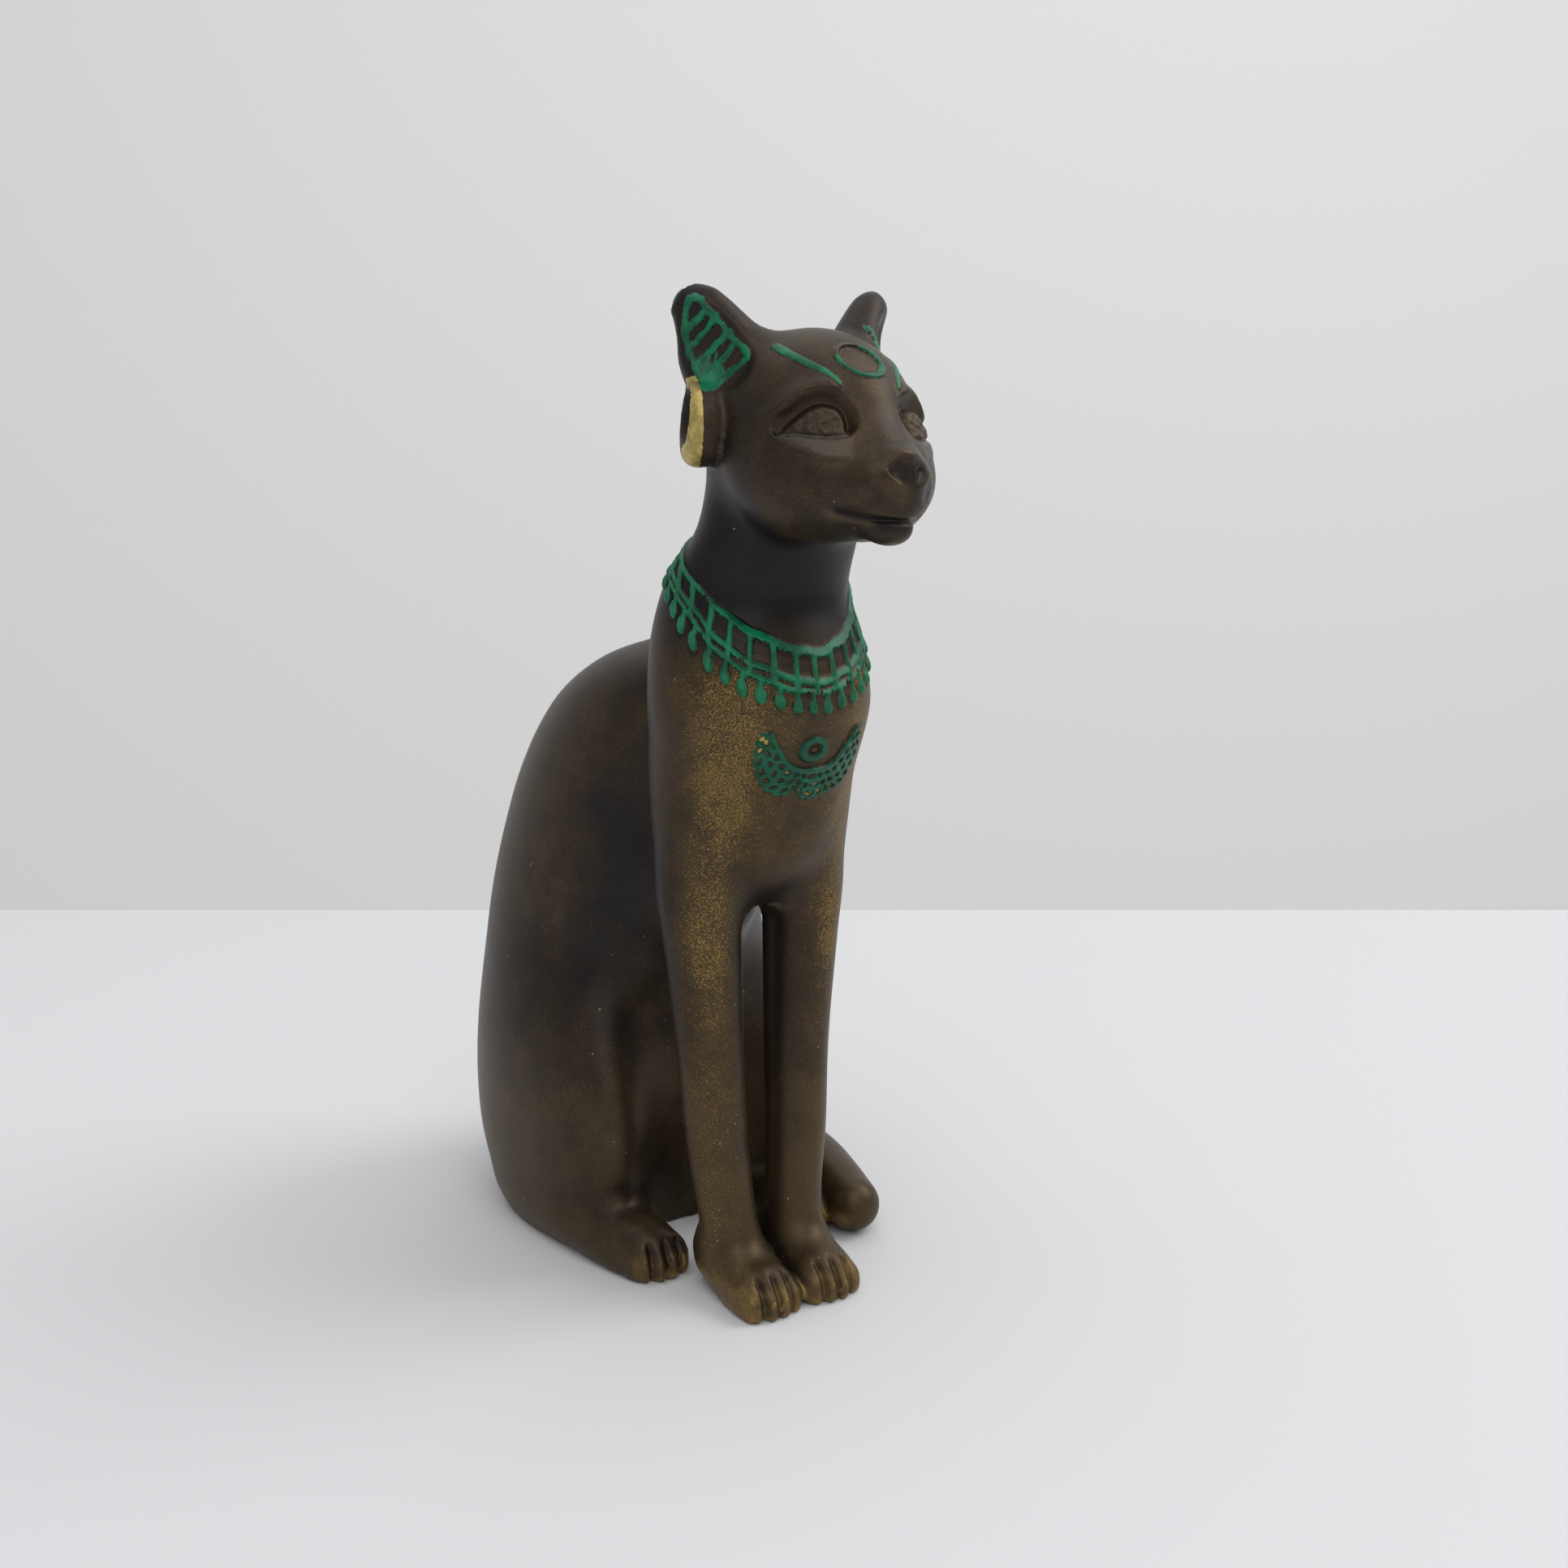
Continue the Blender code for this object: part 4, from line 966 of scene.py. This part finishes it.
finish = {
    "cool": (0.017, 0.0145, 0.0155, 1), "dark": (0.030, 0.0215, 0.0155, 1), "brown": (0.070, 0.047, 0.024, 1),
    "grain": (0.12, 0.076, 0.034, 1), "wearAndSheen": (0.13, 0.088, 0.048, 1), "paintedHighlight": (0.11, 0.094, 0.076, 1),
    "dust": (0.40, 0.25, 0.072, 1), "haze": (0.125, 0.082, 0.030, 1),
    "mote": (0.40, 0.35, 0.27, 1), "rubbed": (0.30, 0.190, 0.062, 1),
    "green": (0.002, 0.082, 0.036, 1), "greenLight": (0.004, 0.190, 0.084, 1),
    "greenDeep": (0.001, 0.040, 0.024, 1), "gold": (0.56, 0.43, 0.14, 1), "goldDark": (0.36, 0.27, 0.09, 1),
    # how fine each pattern is, in patterns to the metre
    "clouds": 26.0, "mottling": 170.0, "grains": 4200.0, "motes": 420.0, "chips": 600.0, "ragged": 800.0,
    "brushing": 300.0,
    # how strongly each colour covers the ones under it
    "grainShare": 0.5, "wearAndSheenShare": 0.4, "paintedHighlightShare": 0.8, "moteShare": 0.6, "rubbedShare": 0.85,
    "glintShare": 0.7, "deepShare": 0.6,
    "roughness": 0.42, "specular": 0.3, "metal": 0.6, "bump": 0.22, "bumpHeight": 0.0001,
}


def castFinish():
    f = finish
    material = bpy.data.materials.new("castFinish")
    material.use_nodes = True
    tree = material.node_tree
    shader = tree.nodes["Principled BSDF"]
    place = nodeOf(tree, "ShaderNodeTexCoord", output=3)

    def noise(size, detail, rough=0.6):
        return nodeOf(tree, "ShaderNodeTexNoise", {"noise_dimensions": "3D"},
                      {"Vector": place, "Scale": size, "Detail": detail, "Roughness": rough})

    def cells(output):
        return nodeOf(tree, "ShaderNodeTexVoronoi", {}, {"Vector": place, "Scale": f["motes"]}, output)

    cloud = noise(f["clouds"], 3.0)
    mottle = noise(f["mottling"], 5.0, 0.7)
    grain = noise(f["grains"], 2.0)
    # the bronze, from its hollows and painted shade to its rubbed edges with painted highlights
    tone = markOf(tree, "tone") + (cloud - 0.5) * 1.1 + (mottle - 0.5) * 0.9
    colour = blendOf(tree, tone.above(0.0, 0.5), f["cool"], f["dark"])
    colour = blendOf(tree, tone.above(0.4, 1.0), colour, f["brown"])
    shown = grain.above(0.45, 0.7) * tone.above(0.1, 0.9) * f["grainShare"]
    colour = blendOf(tree, shown, colour, f["grain"])
    # lighter on raised edges: rubbed wear together with a painted highlight, strongest on the nose tip
    wearAndSheen = (markOf(tree, "proud") + (mottle - 0.5) * 0.3).above(0.10, 0.55)
    colour = blendOf(tree, wearAndSheen * f["wearAndSheenShare"], colour, f["wearAndSheen"])
    # painted highlight on the shelf under each eye and along the lower lid
    colour = blendOf(tree, markOf(tree, "paintedHighlight") * f["paintedHighlightShare"], colour, f["paintedHighlight"])
    # gold dust, single light motes, and rubbed toes
    dust = markOf(tree, "dust")
    speck = (grain + dust * 0.22 + (mottle - 0.5) * 0.25).above(0.72, 0.82)
    colour = blendOf(tree, speck * (0.3 + dust * 0.7), colour, f["dust"])
    colour = blendOf(tree, dust * (mottle - 0.05), colour, f["haze"])
    mote = (0.07 - cells(0)).above(0.0, 0.02) * cells(1).above(0.66, 0.68)
    colour = blendOf(tree, mote * f["moteShare"], colour, f["mote"])
    rubbed = markOf(tree, "toes") * (markOf(tree, "proud") + 0.45) + (mottle - 0.5) * 0.9
    colour = blendOf(tree, rubbed.above(0.15, 0.9) * f["rubbedShare"], colour, f["rubbed"])
    # gold paint
    glint = (markOf(tree, "glint") + (mottle - 0.5) * 2.0).above(1.0, 1.2) * f["glintShare"]
    colour = blendOf(tree, glint, colour, f["gold"])
    chips = noise(f["chips"], 5.0, 0.75)
    hoop = (markOf(tree, "hoop") + (chips - 0.5) * 1.2).above(0.35, 0.55)
    leafGold = blendOf(tree, chips.above(0.4, 0.6), f["goldDark"], f["gold"])
    colour = blendOf(tree, hoop, colour, leafGold)
    # green paint
    green = (markOf(tree, "green") + (noise(f["ragged"], 3.0) - 0.5) * 0.35).above(0.16, 0.5)
    paint = blendOf(tree, noise(f["brushing"], 3.0).above(0.35, 0.65), f["green"], f["greenLight"])
    paint = blendOf(tree, markOf(tree, "wings") * f["deepShare"], paint, f["greenDeep"])
    colour = blendOf(tree, green, colour, paint)
    tree.links.new(colour.socket, shader.inputs["Base Color"])
    rough = f["roughness"] + (mottle - 0.5) * 0.2 - green * 0.06 + speck * 0.1
    tree.links.new(rough.socket, shader.inputs["Roughness"])
    metal = (1 - green) * f["metal"]
    tree.links.new(metal.socket, shader.inputs["Metallic"])
    shader.inputs["Specular IOR Level"].default_value = f["specular"]
    bump = nodeOf(tree, "ShaderNodeBump", {},
                  {"Strength": f["bump"], "Distance": f["bumpHeight"], "Height": grain + mottle * 2.0})
    tree.links.new(bump.socket, shader.inputs["Normal"])
    return material


def buildCat():
    mesh = castMesh()
    paintMarks(mesh)
    points = pointsOf(mesh)
    slope = slopeOf(points)
    points[:, :2] -= scale["middle"]
    setPoints(mesh, points * scale["share"])
    for polygon in mesh.polygons:
        polygon.use_smooth = True
    mesh.normals_split_custom_set_from_vertices(slope)
    mesh.materials.clear()
    mesh.materials.append(castFinish())
    cat = bpy.data.objects.new("seated_cat", mesh)
    bpy.context.scene.collection.objects.link(cat)
    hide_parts("cat_figure")
    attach(cat, "root")


# stage, light, camera

stage = {
    # the camera's angles in degrees, its distance and height in shares, and its lens in millimetres
    "yaw": 31.0, "aim": 2.66, "pitch": 9.0, "distance": 241.1, "height": 113.6,
    "lens": 1935.0 / 1932.0 * 36.0,
    "tableEdge": 471.0, "tableNear": 1200.0, "wall": 1500.0,
    "tableHalf": 1.6, "tableDrop": 0.0002, "wallHalf": 3.0, "wallLow": -1.0, "wallHigh": 3.0,  # in metres
    "cloth": (0.78, 0.78, 0.79, 1), "wallColour": (0.80, 0.79, 0.78, 1), "wallGlow": 0.2,
}


def plainFinish(name, colour, roughness, glow=0.0):
    material = bpy.data.materials.new(name)
    material.use_nodes = True
    shader = material.node_tree.nodes["Principled BSDF"]
    shader.inputs["Emission Color"].default_value = colour
    shader.inputs["Emission Strength"].default_value = glow
    shader.inputs["Base Color"].default_value = colour
    shader.inputs["Roughness"].default_value = roughness
    return material


def sheetAt(name, corners, material):
    mesh = bpy.data.meshes.new(name)
    mesh.from_pydata(corners, [], [range(len(corners))])
    mesh.materials.append(material)
    obj = bpy.data.objects.new(name, mesh)
    bpy.context.scene.collection.objects.link(obj)


def cameraPlace():
    s = stage
    yaw = math.radians(s["yaw"])
    x = -s["distance"] * math.sin(yaw) - scale["middle"][0]
    y = -s["distance"] * math.cos(yaw) - scale["middle"][1]
    return np.array([x, y, s["height"]]) * scale["share"]


def buildStage():
    s = stage
    turn = math.radians(s["yaw"] + s["aim"])
    ahead = np.array([math.sin(turn), math.cos(turn), 0.0])
    side = np.array([math.cos(turn), -math.sin(turn), 0.0])
    cameraPoint = cameraPlace()
    foot = cameraPoint * np.array([1, 1, 0])
    unit = scale["share"]
    far = foot + ahead * s["tableEdge"] * unit
    near = foot - ahead * s["tableNear"] * unit
    half = side * s["tableHalf"]
    corners = [near - half, near + half, far + half, far - half]
    down = np.array([0, 0, -s["tableDrop"]])
    sheetAt("floor", [tuple(c + down) for c in corners], plainFinish("cloth", s["cloth"], 0.9))
    wallFoot = foot + ahead * s["wall"] * unit
    half = side * s["wallHalf"]
    low = np.array([0, 0, s["wallLow"]])
    high = np.array([0, 0, s["wallHigh"]])
    corners = [wallFoot - half + low, wallFoot + half + low, wallFoot + half + high, wallFoot - half + high]
    wallPaint = plainFinish("wallPaint", s["wallColour"], 0.9, s["wallGlow"])
    sheetAt("backdrop", [tuple(c) for c in corners], wallPaint)
    cameraData = bpy.data.cameras.new("photoCamera")
    cameraData.lens = s["lens"]
    cameraData.sensor_width = 36.0
    cameraData.clip_start = 0.01
    camera = bpy.data.objects.new("photoCamera", cameraData)
    camera.location = cameraPoint
    camera.rotation_euler = (math.radians(90 - s["pitch"]), 0, -turn)
    bpy.context.scene.collection.objects.link(camera)
    bpy.context.scene.camera = camera


lights = {
    "sky": 0.48, "skyColour": (0.95, 0.97, 1.0, 1),
    # place, size and power, and the point that each is aimed at
    "keyLight": ((1.0, -0.45, 1.1), 1.0, 7.0, (0, 0, 0.07)),
    "topLight": ((0.1, 0.1, 1.4), 1.8, 5.4, (0, 0, 0.07)),
    "frontLight": ((-0.25, -0.50, 0.55), 0.6, 1.0, (-0.1, -0.12, 0.0)),
}


def softLight(name, place, size, power, aimAt):
    data = bpy.data.lights.new(name, "AREA")
    data.shape = "DISK"
    data.size = size
    data.energy = power
    light = bpy.data.objects.new(name, data)
    light.location = place
    direction = np.array(aimAt) - np.array(place)
    yawTurn = math.atan2(direction[1], direction[0]) - math.pi / 2
    tip = math.atan2(math.hypot(direction[0], direction[1]), -direction[2])
    light.rotation_euler = (tip, 0, yawTurn)
    bpy.context.scene.collection.objects.link(light)


def buildLight():
    world = bpy.data.worlds.new("studio")
    bpy.context.scene.world = world
    world.use_nodes = True
    background = world.node_tree.nodes["Background"]
    background.inputs["Color"].default_value = lights["skyColour"]
    background.inputs["Strength"].default_value = lights["sky"]
    for name in ("keyLight", "topLight", "frontLight"):
        softLight(name, *lights[name])
    bpy.context.scene.view_settings.view_transform = "Standard"


print("making the cat")
buildCat()
print("setting the stage")
buildStage()
buildLight()
